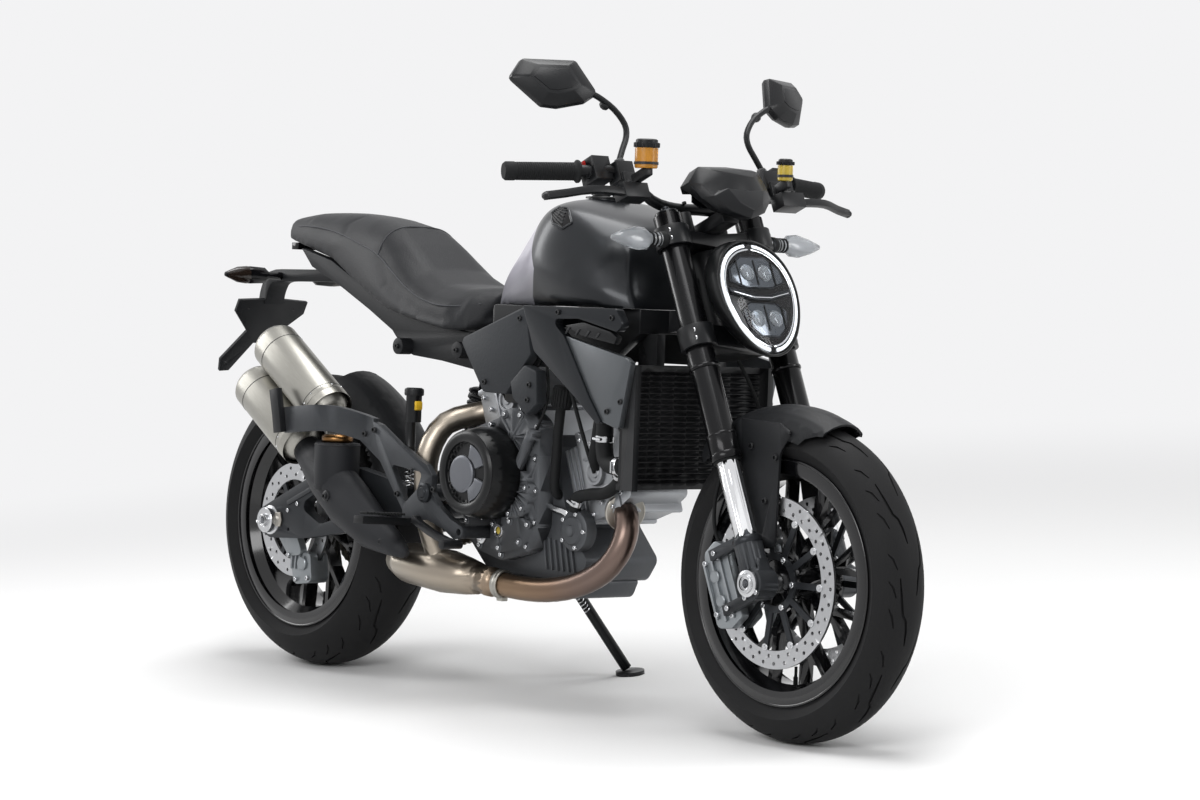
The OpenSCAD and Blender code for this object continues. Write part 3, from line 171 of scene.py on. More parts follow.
def seen_rays(tree):
    """One for rays from the camera, in reflections and through clear pieces, else zero."""
    rays = add(tree, "ShaderNodeLightPath").outputs
    seen = calc(tree, "MAXIMUM", rays["Is Camera Ray"], rays["Is Transmission Ray"])
    return calc(tree, "MAXIMUM", seen, rays["Is Glossy Ray"])


def only(obj):
    """Selects one object alone and makes it active."""
    bpy.ops.object.select_all(action="DESELECT")
    obj.select_set(True)
    bpy.context.view_layer.objects.active = obj
    return obj


bpy.context.scene.view_settings.view_transform = "Standard"
world = bpy.data.worlds.new("studio_air")
bpy.context.scene.world = world
tree = blank(world)
air = add(tree, "ShaderNodeBackground", [("Color", linear("#FFFFFF")), ("Strength", AIR_STRENGTH)])
paper = add(tree, "ShaderNodeBackground", [("Color", linear(BACKDROP)), ("Strength", 1.0)])
sky = add(
    tree, "ShaderNodeMixShader", [(0, seen_rays(tree)), (1, air.outputs[0]), (2, paper.outputs[0])]
)
add(tree, "ShaderNodeOutputWorld", [("Surface", sky.outputs[0])])

bpy.ops.object.select_all(action="DESELECT")
bpy.ops.mesh.primitive_plane_add(size=60, location=(0, 0, -0.0005))
floor = bpy.context.object
floor.name = "floor"
floor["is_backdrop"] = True
paint = bpy.data.materials.new("studio_paper")
tree = blank(paint)
where = add(tree, "ShaderNodeTexCoord").outputs["Object"]
reach = add(tree, "ShaderNodeVectorMath", [(0, where)], operation="LENGTH")
far = between(tree, reach.outputs["Value"], FADE_FROM, FADE_TO, "SMOOTHSTEP")
matte = add(tree, "ShaderNodeBsdfDiffuse", [("Color", linear("#F0F0F0"))])
white = add(tree, "ShaderNodeEmission", [("Color", linear(BACKDROP)), ("Strength", 1.0)])
share = calc(tree, "MULTIPLY", far, seen_rays(tree))
ground = add(
    tree, "ShaderNodeMixShader", [(0, share), (1, matte.outputs[0]), (2, white.outputs[0])]
)
add(tree, "ShaderNodeOutputMaterial", [("Surface", ground.outputs[0])])
floor.data.materials.append(paint)

for name, place, aim, size, watts in [
    ("top_box", (0.3, 0.2, 3.6), (0.1, 0, 0.6), (3.6, 1.6), 112),
    ("right_box", (1.6, -3.6, 2.6), (0.1, 0, 0.5), (2.6, 1.4), 70),
    ("rear_box", (-3.0, -1.2, 2.2), (0, 0, 0.7), (1.0, 2.2), 45),
    ("front_box", (3.6, 2.0, 1.9), (0.4, 0, 0.6), (1.0, 2.0), 45),
]:
    lamp = bpy.data.lights.new(name, "AREA")
    lamp.shape = "RECTANGLE"
    lamp.size, lamp.size_y = size
    lamp.energy = watts
    box = bpy.data.objects.new(name, lamp)
    bpy.context.scene.collection.objects.link(box)
    box.location = place
    box.rotation_euler = (Vector(aim) - Vector(place)).to_track_quat("-Z", "Y").to_euler()
print("studio ready")

# %% [markdown]
# ## Finishes
# Most surfaces of this machine are moulded plastic, painted or coated metal, cast metal or rubber.
# These share one recipe: a base tone that drifts softly over the piece, a roughness that drifts
# with it, and a grain worked into the normal at its real size. A worn, paler tone gathers on raised
# edges, which the pointiness of the mesh finds. Metals that show a direction, such as brushed
# steel, and materials that pass light get their own cells.


# %% Shared finish
def scaled(colour, factor, lift=0.0):
    """A colour times a factor, kept within white."""
    return [min(1, c * factor + lift) for c in colour[:3]] + [1]


def blend(tree, share, first, second):
    """A colour between two colours."""
    links = [("Factor", share), (6, first), (7, second)]
    return add(tree, "ShaderNodeMix", links, data_type="RGBA").outputs[2]


def spread(tree, share, low, high):
    """A share from 0 to 1 spread from low to high."""
    links = [("Value", share), ("To Min", low), ("To Max", high)]
    return add(tree, "ShaderNodeMapRange", links).outputs[0]


def noise(tree, place, scale, detail, rough=0.5):
    """Soft noise over a place."""
    links = [("Vector", place), ("Scale", scale), ("Detail", detail), ("Roughness", rough)]
    return add(tree, "ShaderNodeTexNoise", links).outputs["Fac"]


def relief(tree, height, strength, depth):
    """A height worked into the normal."""
    links = [("Height", height), ("Strength", strength), ("Distance", depth)]
    return add(tree, "ShaderNodeBump", links).outputs[0]


def surface(tree, links):
    """Ends a material with a principled shader."""
    skin = add(tree, "ShaderNodeBsdfPrincipled", links)
    add(tree, "ShaderNodeOutputMaterial", [("Surface", skin.outputs[0])])


# Noise of this scale over a size in millimetres has features of about that size.
GRAIN_SCALE = 500


def finish(
    name, colour, rough, metal=0.0, grain_mm=1.0, grain=0.1, vary=0.12, edge=0.0, coat=0.0,
    shine=0.25
):
    """A material of drifting tone and roughness, with a grain of grain_mm and paler edges."""
    material = bpy.data.materials.new(name)
    tree = blank(material)
    where = add(tree, "ShaderNodeTexCoord").outputs["Object"]
    drift = noise(tree, where, 9.0, 5.0, 0.6)
    base = linear(colour)
    tone = blend(tree, drift, scaled(base, 1 - vary), scaled(base, 1 + vary))
    if edge:
        shape = add(tree, "ShaderNodeNewGeometry")
        raised = between(tree, shape.outputs["Pointiness"], 0.53, 0.62)
        tone = blend(
            tree, calc(tree, "MULTIPLY", raised, drift), tone, scaled(base, 1 + edge, 0.03 * edge)
        )
    speck = noise(tree, where, GRAIN_SCALE / grain_mm, 3.0)
    surface(tree, [
        ("Base Color", tone),
        ("Roughness", spread(tree, drift, rough * 0.84, min(1, rough * 1.16))),
        ("Metallic", metal),
        ("Normal", relief(tree, speck, grain, 0.0006)),
        ("Coat Weight", coat),
        ("Coat Roughness", 0.12),
        ("Specular IOR Level", shine),
    ])
    return material


# Each finish is listed under the record's material slot that it dresses.
F = {
    # Satin enamel over steel: deep black with soft broad highlights.
    "black_frame": finish("satin_black_enamel", "#141517", 0.38, grain=0.05, edge=0.8),
    # Moulded plastic: fine even mould grain that keeps highlights dull.
    "dark_plastic": finish(
        "moulded_black_plastic", "#1A1B1D", 0.5, grain_mm=1.4, grain=0.3, shine=0.2
    ),
    # Coated die casting: grey with the pebbled skin of the mould.
    "engine_grey": finish(
        "coated_die_casting", "#47494C", 0.46, 0.35, grain_mm=2.4, grain=0.42, edge=1.2
    ),
    # Bare die casting: brighter and rougher, silver where it is machined.
    "head_grey": finish(
        "bare_die_casting", "#97999C", 0.42, 0.85, grain_mm=2.2, grain=0.4, edge=0.8
    ),
    # Wrinkle coat: black, glossy at the bottom of its wrinkles.
    "clutch_black": finish(
        "black_wrinkle_coat", "#0E0F10", 0.3, grain_mm=1.6, grain=0.16, edge=0.6
    ),
    "radiator_black": finish("black_radiator_paint", "#101113", 0.42, grain=0.1, edge=0.8),
    # Satin lacquer with fine metal flake: the tone shifts from charcoal to grey with the light.
    "panel_paint": finish(
        "satin_iron_lacquer", "#232528", 0.3, 0.45, grain_mm=0.8, grain=0.05, coat=0.08, edge=0.3
    ),
    "intake_paint": finish(
        "satin_silver_lacquer", "#54575A", 0.32, 0.6, grain_mm=0.8, grain=0.05, coat=0.08, edge=0.3
    ),
    # Textured polymer: a coarse leathery mould grain.
    "cover_grain": finish(
        "grained_polymer", "#2B2D30", 0.52, grain_mm=3.0, grain=0.6, shine=0.2, edge=0.5
    ),
    "lamp_black": finish("gloss_black_acrylic", "#0C0C0E", 0.14, grain=0.01),
    "arm_grey": finish(
        "grey_powder_coat", "#2A2C2F", 0.42, 0.4, grain_mm=1.2, grain=0.25, edge=0.9
    ),
    # Zinc plate: bright, slightly clouded.
    "bright_steel": finish("zinc_plated_steel", "#C3C4C6", 0.24, 1.0, grain=0.06, vary=0.1),
    "chain_steel": finish("oiled_chain_steel", "#6B675F", 0.34, 1.0, grain=0.15, vary=0.3),
    # Matte heat paint: dry and dark, faintly mottled.
    "shield_black": finish(
        "matte_heat_paint", "#1C1D20", 0.55, grain_mm=1.0, grain=0.22, shine=0.2, edge=0.8
    ),
    "stand_black": finish("black_enamel", "#0F1012", 0.34, grain=0.06, edge=1.0),
    "fork_black": finish("black_anodised_tube", "#0D0D0F", 0.26, 0.5, grain=0.02, coat=0.2),
    # Hard chrome: a mirror with a trace of grinding.
    "fork_chrome": finish("hard_chrome", "#E2E3E5", 0.07, 1.0, grain=0.01, vary=0.03),
    "caliper_grey": finish(
        "anodised_caliper", "#85898C", 0.36, 0.75, grain_mm=0.9, grain=0.14, edge=0.5
    ),
    "screen_black": finish("black_abs_housing", "#111214", 0.38, grain_mm=1.0, grain=0.14),
    "bar_black": finish("satin_black_coat", "#0F1012", 0.36, grain=0.06, edge=0.8),
    # Moulded rubber: dull, with no clear highlight.
    "grip_rubber": finish("moulded_rubber", "#121314", 0.68, grain_mm=1.2, grain=0.25, shine=0.2),
    "tyre_rubber": finish(
        "tyre_rubber", "#161617", 0.7, grain_mm=1.6, grain=0.3, vary=0.2, shine=0.2
    ),
    "rim_black": finish("gloss_black_enamel", "#0A0A0C", 0.16, grain=0.01, coat=0.6),
    "anodised_dark": finish("dark_anodised_carrier", "#26282B", 0.36, 0.7, grain=0.1, edge=0.8),
    "gold_pipe": finish("bronzed_pipe", "#7A5A38", 0.3, 1.0, grain=0.08, vary=0.25),
    "red_switch": finish("red_moulded_switch", "#A01A16", 0.4, grain=0.06),
    "yellow_cap": finish("yellow_moulded_cap", "#C9A227", 0.4, grain=0.06),
    # Vacuum-metallised bowl, its colour darkened as painted shade for the dim inside of the lamp.
    "lamp_chrome": finish("reflector_painted_shade", "#5F6368", 0.12, 1.0, grain=0.0, vary=0.05),
    "insert_grey": finish(
        "satin_cast_insert", "#63656A", 0.4, 0.6, grain_mm=1.0, grain=0.15, edge=0.5
    ),
    "warm_flange": finish("machined_aluminium", "#A9A59D", 0.3, 0.95, grain_mm=1.2, grain=0.12),
}
print(len(F), "shared finishes")

# %% [markdown]
# ### Brushed and tinted steel
# The silencers and brake discs are rubbed in one direction, which draws fine lines and stretches
# the highlights. A noise that is squeezed hard along one axis gives those lines, in tone and normal
# together, while the roughness drifts with a broad cloud. The disc is ground round its axle
# instead, so its lines follow the distance from that axle. The header pipe has been hot: its colour
# runs from straw through bronze to a violet blue near the engine, so a ramp along the pipe's length
# tints the same brushed steel.


# %% Brushed and tinted steel
def brushed(name, colour, rough, line_mm, turn=(0, 0, 0), tint=None, round_about=None):
    """Steel with brush lines aimed by turn or round a centre; tint is a ramp along x."""
    material = bpy.data.materials.new(name)
    tree = blank(material)
    where = add(tree, "ShaderNodeTexCoord").outputs["Object"]
    if round_about is None:
        lay = add(tree, "ShaderNodeMapping", [("Vector", where), ("Rotation", turn)])
        across = add(
            tree, "ShaderNodeMapping", [("Vector", lay.outputs[0]), ("Scale", (0.03, 1, 1))]
        )
    else:
        lay = add(tree, "ShaderNodeMapping", [("Vector", where), ("Location", -round_about)])
        out = add(tree, "ShaderNodeVectorMath", [(0, lay.outputs[0])], operation="LENGTH")
        across = add(tree, "ShaderNodeCombineXYZ", [("X", out.outputs["Value"])])
    lines = noise(tree, across.outputs[0], GRAIN_SCALE / line_mm, 3.0, 0.7)
    cloud = noise(tree, where, 7.0, 4.0)
    base = linear(colour)
    tone = blend(tree, lines, scaled(base, 0.72), base)
    if tint:
        start, end, ramp_colours = tint
        axis = add(tree, "ShaderNodeSeparateXYZ", [("Vector", where)])
        along = between(tree, axis.outputs["X"], start, end)
        heat = add(
            tree, "ShaderNodeValToRGB", [("Fac", calc(tree, "MULTIPLY_ADD", cloud, 0.16, along))]
        )
        ramp = heat.color_ramp
        while len(ramp.elements) < len(ramp_colours):
            ramp.elements.new(0.5)
        for stop, (at, hex_colour) in zip(ramp.elements, ramp_colours):
            stop.position, stop.color = at, linear(hex_colour)
        tone = blend(tree, 0.85, tone, heat.outputs[0])
    surface(tree, [
        ("Base Color", tone),
        ("Roughness", spread(tree, cloud, rough * 0.8, rough * 1.3)),
        ("Metallic", 1.0),
        ("Normal", relief(tree, lines, 0.04, 0.0002)),
    ])
    return material


SLOPE = math.radians(33)
# Lines of about a millimetre are coarser than real brushing, so that they show at this distance.
F["stainless"] = brushed("brushed_stainless", "#A8A69F", 0.36, 0.8, turn=(0, -SLOPE, 0))
# Heat tint: straw near the collector, bronze, then violet at the engine.
HEAT = [(0.1, "#A39D93"), (0.52, "#968B7E"), (0.62, "#7E664F"), (0.85, "#6E5647"), (1.0, "#64534F")]
F["header_steel"] = brushed("heat_tinted_stainless", "#A79A88", 0.33, 1.4, tint=(-0.3, 0.35, HEAT))
for key, name, wheel in [
    ("disc_steel", "ground_disc_steel", FRONT_WHEEL),
    ("rear_disc_steel", "ground_rear_disc_steel", REAR_WHEEL),
]:
    F[key] = brushed(name, "#BFC0C2", 0.28, 1.6, round_about=wheel.translation)
print(
    "brushed", [F[k].name for k in ("stainless", "header_steel", "disc_steel", "rear_disc_steel")]
)

# %% [markdown]
# ### Clear and lit plastics
# Lamp lenses, indicator lenses and fluid cups pass light. A principled shader with transmission and
# a slight ripple reads as a moulded lens. The lamp's cover has a low IOR, so that the modules
# behind it show almost undistorted. The running light is a strip of light guide, so it glows evenly
# and a little cool.


# %% Clear and lit plastics
def clear(name, colour, rough, ior, weight, ripple_mm, glow=0.0):
    """A moulded clear plastic with a slight ripple; glow lights it from inside."""
    material = bpy.data.materials.new(name)
    tree = blank(material)
    where = add(tree, "ShaderNodeTexCoord").outputs["Object"]
    ripple = noise(tree, where, GRAIN_SCALE / ripple_mm, 2.0)
    base = linear(colour)
    surface(tree, [
        ("Base Color", blend(tree, ripple, scaled(base, 0.9), base)),
        ("Roughness", rough),
        ("IOR", ior),
        ("Transmission Weight", weight),
        ("Normal", relief(tree, ripple, 0.08, 0.0005)),
        ("Emission Color", base),
        ("Emission Strength", glow),
    ])
    return material


F["lens_clear"] = clear("clear_polycarbonate", "#F4F6F8", 0.03, 1.2, 1.0, 30)
F["glass_bead"] = clear("moulded_lens_glass", "#DDE4EA", 0.03, 1.5, 0.75, 12)
F["indicator_clear"] = clear("ribbed_clear_lens", "#B9BDC1", 0.1, 1.5, 0.6, 3)
F["reservoir_amber"] = clear("amber_fluid_cup", "#C98A28", 0.22, 1.45, 0.35, 9)
F["reservoir_yellow"] = clear("yellow_fluid_cup", "#D9BE4A", 0.22, 1.45, 0.35, 9)
F["light_guide"] = clear("lit_light_guide", "#F4F7FB", 0.2, 1.45, 0.0, 5, glow=0.85)
F["tail_red"] = clear("red_tail_lens", "#7A1110", 0.12, 1.5, 0.3, 4)
F["smoked_lens"] = clear("smoked_indicator_lens", "#2A211C", 0.14, 1.5, 0.3, 4)
F["mirror_glass"] = finish("silvered_mirror_glass", "#C9CFD4", 0.03, 1.0, grain=0.0, vary=0.02)
F["screen_glass"] = finish("dark_display_glass", "#07080A", 0.06, grain=0.0, coat=0.5)
print("clear plastics ready")

# %% [markdown]
# ## Workshop
# A few short helpers stand for the hand work that repeats: easing an edge with a bevel, extruding
# an outline, turning a profile, drawing a tube, and setting copies of one piece in many places.
# Every new piece is drawn upright in millimetres and then carried by its matrix to the parked
# machine, so the object itself stays at the origin.


# %% Workshop helpers
def apply(obj, kind, **settings):
    """Adds one modifier to an object and applies it."""
    only(obj)
    modifier = obj.modifiers.new(kind.lower(), kind)
    for key, value in settings.items():
        setattr(modifier, key, value)
    bpy.ops.object.modifier_apply(modifier=modifier.name)
    return obj


def from_points(name, points, edges=(), faces=()):
    """A new object of points, edges and faces."""
    mesh = bpy.data.meshes.new(name)
    mesh.from_pydata(points, edges, faces)
    obj = bpy.data.objects.new(name, mesh)
    bpy.context.scene.collection.objects.link(obj)
    return obj


def edit(obj):
    """Opens an object for editing, all of it selected."""
    only(obj)
    bpy.ops.object.mode_set(mode="EDIT")
    bpy.ops.mesh.select_all(action="SELECT")


def close_outward():
    """Turns all faces outward and ends the editing."""
    bpy.ops.mesh.select_all(action="SELECT")
    bpy.ops.mesh.normals_make_consistent(inside=False)
    bpy.ops.object.mode_set(mode="OBJECT")


def piece(obj, name, body, finish_key, place=PARK, angle=35, slot=None):
    """Names a piece, carries its mesh into place, finishes it and hangs it on a body."""
    obj.name = obj.data.name = name
    obj.data.transform(place)
    only(obj)
    bpy.ops.object.shade_smooth_by_angle(angle=math.radians(angle))
    obj.data.materials.clear()
    obj.data.materials.append(F[finish_key])
    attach(obj, body)
    return obj


def ease(obj, width_mm, segments=2, angle=30):
    """Rounds the sharp edges of a piece."""
    if width_mm:
        limit = math.radians(angle)
        apply(
            obj, "BEVEL", width=width_mm * MM, segments=segments, limit_method="ANGLE",
            angle_limit=limit
        )
    return obj


def plate(outline, y0, y1, bevel=1.5):
    """A circle whose corners move to an outline in x and z, extruded along y and eased."""
    bpy.ops.object.select_all(action="DESELECT")
    bpy.ops.mesh.primitive_circle_add(vertices=len(outline), radius=1, fill_type="NGON")
    obj = bpy.context.object
    for corner, (x, z) in zip(obj.data.vertices, outline):
        corner.co = (x * MM, y0 * MM, z * MM)
    edit(obj)
    bpy.ops.mesh.extrude_region_move(TRANSFORM_OT_translate={"value": (0, (y1 - y0) * MM, 0)})
    close_outward()
    return ease(obj, bevel)


def aim(at, direction):
    """A matrix that stands a piece drawn along z at a point in millimetres, along a direction."""
    turn = Vector(direction).to_track_quat("Z", "Y").to_matrix().to_4x4()
    return Matrix.Translation(Vector(at) * MM) @ turn


def lathe(profile, at=(0, 0, 0), direction=(0, 0, 1), steps=32):
    """Turns an open profile of radius and height round its axis and stands it at a point."""
    points = [(r * MM, 0, h * MM) for r, h in profile]
    obj = from_points("turned", points, [(i, i + 1) for i in range(len(points) - 1)])
    edit(obj)
    bpy.ops.mesh.spin(steps=steps, angle=2 * math.pi, center=(0, 0, 0), axis=(0, 0, 1))
    bpy.ops.mesh.select_all(action="SELECT")
    bpy.ops.mesh.remove_doubles(threshold=0.000005)
    close_outward()
    obj.data.transform(aim(at, direction))
    return obj


def tube(points, radius, sides=4, closed=False):
    """A smooth round tube through points, drawn as a curve and then made a mesh."""
    path = bpy.data.curves.new("path", "CURVE")
    path.dimensions = "3D"
    path.bevel_depth, path.bevel_resolution, path.use_fill_caps = radius * MM, sides, True
    spline = path.splines.new("BEZIER")
    spline.bezier_points.add(len(points) - 1)
    for knot, at in zip(spline.bezier_points, points):
        knot.co = Vector(at) * MM
        knot.handle_left_type = knot.handle_right_type = "AUTO"
    spline.use_cyclic_u = closed
    spline.resolution_u = 6
    obj = bpy.data.objects.new("tube", path)
    bpy.context.scene.collection.objects.link(obj)
    only(obj)
    bpy.ops.object.convert(target="MESH")
    return bpy.context.object


def lead(name, body, points, radius, finish_key, place):
    """A free hose or cable held at both ends, drawn as a tube; returns the length of its line."""
    rail = tube(points, 0.0)
    path = [place @ v.co for v in rail.data.vertices]
    bpy.data.objects.remove(rail)
    obj = piece(tube(points, radius, 3), name, body, finish_key, place, 60)
    length = sum((b - a).length for a, b in zip(path, path[1:]))
    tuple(path[0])
    return length


def join(pieces):
    """Joins pieces into the first one."""
    bpy.ops.object.select_all(action="DESELECT")
    for part in pieces:
        part.select_set(True)
    bpy.context.view_layer.objects.active = pieces[0]
    bpy.ops.object.join()
    return pieces[0]


def scatter(model, places):
    """Copies of one modelled piece at many places, joined into one mesh; the model itself goes."""
    points, faces = [], []
    shape = [v.co.copy() for v in model.data.vertices]
    rings = [tuple(p.vertices) for p in model.data.polygons]
    for place in places:
        start = len(points)
        points += [place @ v for v in shape]
        faces += [[start + i for i in ring] for ring in rings]
    bpy.data.objects.remove(model, do_unlink=True)
    return from_points("copies", points, faces=faces)


def bolt(radius=5.0, height=4.0):
    """A socket-head bolt: a short cylinder with a softened rim and a socket sunk in its top."""
    bpy.ops.object.select_all(action="DESELECT")
    bpy.ops.mesh.primitive_cylinder_add(
        vertices=12, radius=radius * MM, depth=height * MM, location=(0, 0, height * MM / 2)
    )
    obj = bpy.context.object
    bpy.ops.object.transform_apply(location=True)
    bpy.ops.object.mode_set(mode="EDIT")
    bpy.ops.mesh.select_all(action="DESELECT")
    bpy.ops.object.mode_set(mode="OBJECT")
    for face in obj.data.polygons:
        face.select = face.normal.z > 0.9
    bpy.ops.object.mode_set(mode="EDIT")
    bpy.ops.mesh.inset(thickness=radius * 0.16 * MM)
    bpy.ops.transform.translate(value=(0, 0, radius * 0.14 * MM))
    bpy.ops.mesh.inset(thickness=radius * 0.26 * MM)
    bpy.ops.mesh.extrude_region_move(TRANSFORM_OT_translate={"value": (0, 0, -height * 0.55 * MM)})
    bpy.ops.object.mode_set(mode="OBJECT")
    return obj


def bolts(name, body, spots, radius=5.0, height=4.0, finish_key="bright_steel", place=PARK):
    """Bolts at spots, each a point and the direction its head faces."""
    return piece(
        scatter(bolt(radius, height), [aim(at, way) for at, way in spots]), name, body, finish_key,
        place
    )


def both(spots):
    """Spots on the right and their mirror images on the left."""
    return spots + [((x, -y, z), (a, -b, c)) for (x, y, z), (a, b, c) in spots]


def round_spots(centre, y, radius, count, way, start=0.0):
    """Spots evenly round a circle about a centre in x and z, all facing one way."""
    turns = [start + 2 * math.pi * i / count for i in range(count)]
    return [
        ((centre[0] + radius * math.cos(a), y, centre[1] + radius * math.sin(a)), way)
        for a in turns
    ]


def oblong(x0, x1, z0, z1):
    """The outline of an upright rectangle."""
    return [(x0, z0), (x1, z0), (x1, z1), (x0, z1)]


def on_fork(obj, name, finish_key, place=STEER, angle=35):
    """A piece that steers with the fork."""
    return piece(obj, name, FORK, finish_key, place, angle)


def on_chassis(obj, name, finish_key, angle=35):
    """A piece of the parked chassis."""
    return piece(obj, name, CHASSIS, finish_key, PARK, angle)


print("workshop ready")

# %% [markdown]
# ## Dressing the solids
# A CAD solid arrives as loose triangles with hard corners. A copy is merged, its flat faces are
# joined, its sharp edges get a small bevel that catches the light, and it is shaded smooth by
# angle. The copy stands for the node, which is hidden and stays in the scene.


# %% Dress the solids
def dress(name, bevel_mm=0.0, angle=32):
    """A copy of a CAD solid with its edges eased and its faces shaded smooth."""
    obj = nodes[name].copy()
    obj.data = nodes[name].data.copy()
    obj.parent = None
    bpy.context.scene.collection.objects.link(obj)
    edit(obj)
    bpy.ops.mesh.remove_doubles(threshold=0.00001)
    if bevel_mm:
        bpy.ops.mesh.dissolve_limited(angle_limit=math.radians(1))
    bpy.ops.object.mode_set(mode="OBJECT")
    ease(obj, bevel_mm, 2, 35)
    piece(
        obj, name + "_dressed", node_body[name], node_slot[name], Matrix.Identity(4), angle,
        node_slot[name]
    )
    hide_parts(name)
    return obj


EASED = {
    "side_panels": 3.0, "intake_panels": 3.0, "frame_covers": 4.0, "swingarm": 3.0,
    "foot_hangers": 2.5, "front_calipers": 3.0, "rear_caliper": 2.5, "crankcase": 3.0,
    "cylinders": 2.0, "front_frame": 3.0, "plate_hanger": 1.5, "hand_controls": 3.0,
    "instrument": 1.5, "mirrors": 1.0, "triple_clamps": 2.0, "foot_controls": 1.5,
    "front_axle": 1.0, "rear_axle": 1.0, "rear_subframe": 2.0, "fuel_cap": 1.0,
    "rear_sprocket": 0.4, "fork_tubes": 1.0, "rear_lights": 1.0
}
SPECIAL = {"front_tyre", "rear_tyre", "seat", "fuel_tank", "fluid_reservoirs", "grips", "chain"}
dressed = {n: dress(n, EASED.get(n, 0.0)) for n in nodes if n not in SPECIAL}
dressed["rear_disc"].data.materials[0] = F["rear_disc_steel"]
print(len(dressed), "solids dressed")

# %% [markdown]
# ## Tyres
# A road tyre is a smooth torus-like casing with a tread of curved grooves cut into its crown.
# It could be a lathe with painted grooves, but real grooves catch shadow from every side,
# so the section is spun round the axle and thin curved blades are cut out of it with a boolean.


# %% Tyres
def tyre_section(r, w, crown, rim_w):
    """Closed section of a tyre as radius and distance along the axle."""
    bead, foot, edge = 219.0, rim_w / 2 - 3, math.asin(w / 2 / crown)
    edge = min(edge, math.acos(max(-1, 1 - (r - bead - 20) / crown)))
    outer = [
        (r - crown + crown * math.cos(a), crown * math.sin(a))
        for a in (edge * (i / 16 - 1) for i in range(33))
    ]
    return [(bead, -foot), (bead + 8, -foot - 4), (bead + 16, -foot - 5)] + outer + [
        (bead + 16, foot + 5), (bead + 8, foot + 4), (bead, foot), (bead, -foot)
    ]


def groove_blades(r, crown, pitches, strokes):
    """Thin blades along strokes of (angle, side angle) over the crown, round the tyre."""
    points, faces = [], []

    def on_tread(turn, side, out):
        rho = r - crown + (crown + out) * math.cos(side)
        return Vector(
            (rho * math.cos(turn), (crown + out) * math.sin(side), rho * math.sin(turn))
        ) * MM

    for k in range(pitches):
        for mirror in (1, -1):
            for stroke, width, depth in strokes:
                start = len(points)
                path = [
                    (
                        math.radians(a + 360 * (k + (0.5 if mirror < 0 else 0)) / pitches),
                        mirror * math.radians(s)
                    ) for a, s in stroke
                ]
                for i, (turn, side) in enumerate(path):
                    ahead, behind = path[min(i + 1, len(path) - 1)], path[max(i - 1, 0)]
                    run = on_tread(*ahead, 0) - on_tread(*behind, 0)
                    out = on_tread(turn, side, 1) - on_tread(turn, side, 0)
                    across = run.cross(out).normalized() * (width * MM / 2) * (
                        0.45 if i in (0, len(path) - 1) else 1
                    )
                    for lift in (-depth, 3):
                        points += [
                            on_tread(turn, side, lift) - across, on_tread(turn, side, lift) + across
                        ]
                for i in range(len(path) - 1):
                    a, b = start + 4 * i, start + 4 * i + 4
                    faces += [
                        (a, b, b + 1, a + 1), (a + 2, a + 3, b + 3, b + 2), (a, a + 2, b + 2, b),
                        (a + 1, b + 1, b + 3, a + 3)
                    ]
                a, b = start, start + 4 * (len(path) - 1)
                faces += [(a, a + 1, a + 3, a + 2), (b, b + 2, b + 3, b + 1)]
    obj = from_points("blades", points, faces=faces)
    edit(obj)
    close_outward()
    return obj


STROKES = [
    ([(0, 6), (5, 9), (9, 13), (11, 20), (16, 24), (24, 27)], 5.0, 4),
    ([(6, 33), (10, 38), (13, 45)], 4.0, 3.5),
    ([(17, 34), (21, 40), (23, 47)], 4.0, 3.5),
    ([(27, 31), (31, 37), (33, 44)], 4.0, 3.5),
]
for name, r, w, crown, rim_w, place in [
    ("front_tyre", 300, 120, 62, 89, FRONT_WHEEL), ("rear_tyre", 315, 180, 95, 140, REAR_WHEEL)
]:
    casing = lathe(tyre_section(r, w, crown, rim_w), (0, 0, 0), LEFT, 128)
    blades = groove_blades(r, crown, 10, STROKES)
    apply(casing, "BOOLEAN", object=blades, operation="DIFFERENCE", solver="EXACT")
    bpy.data.objects.remove(blades, do_unlink=True)
    piece(casing, name + "_grooved", node_body[name], "tyre_rubber", place, 28, node_slot[name])
    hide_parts(name)
    print(name, len(casing.data.polygons), "faces")

# %% [markdown]
# ## Wheels and brakes
# The cast wheel ends in a rolled lip that shines as one thin line, so a turned bead goes round each
# flange. Each front disc floats on eleven round buttons between the ground band and its dark
# carrier. The carrier is the same solid as the band, so its faces are picked by their distance from
# the axle.

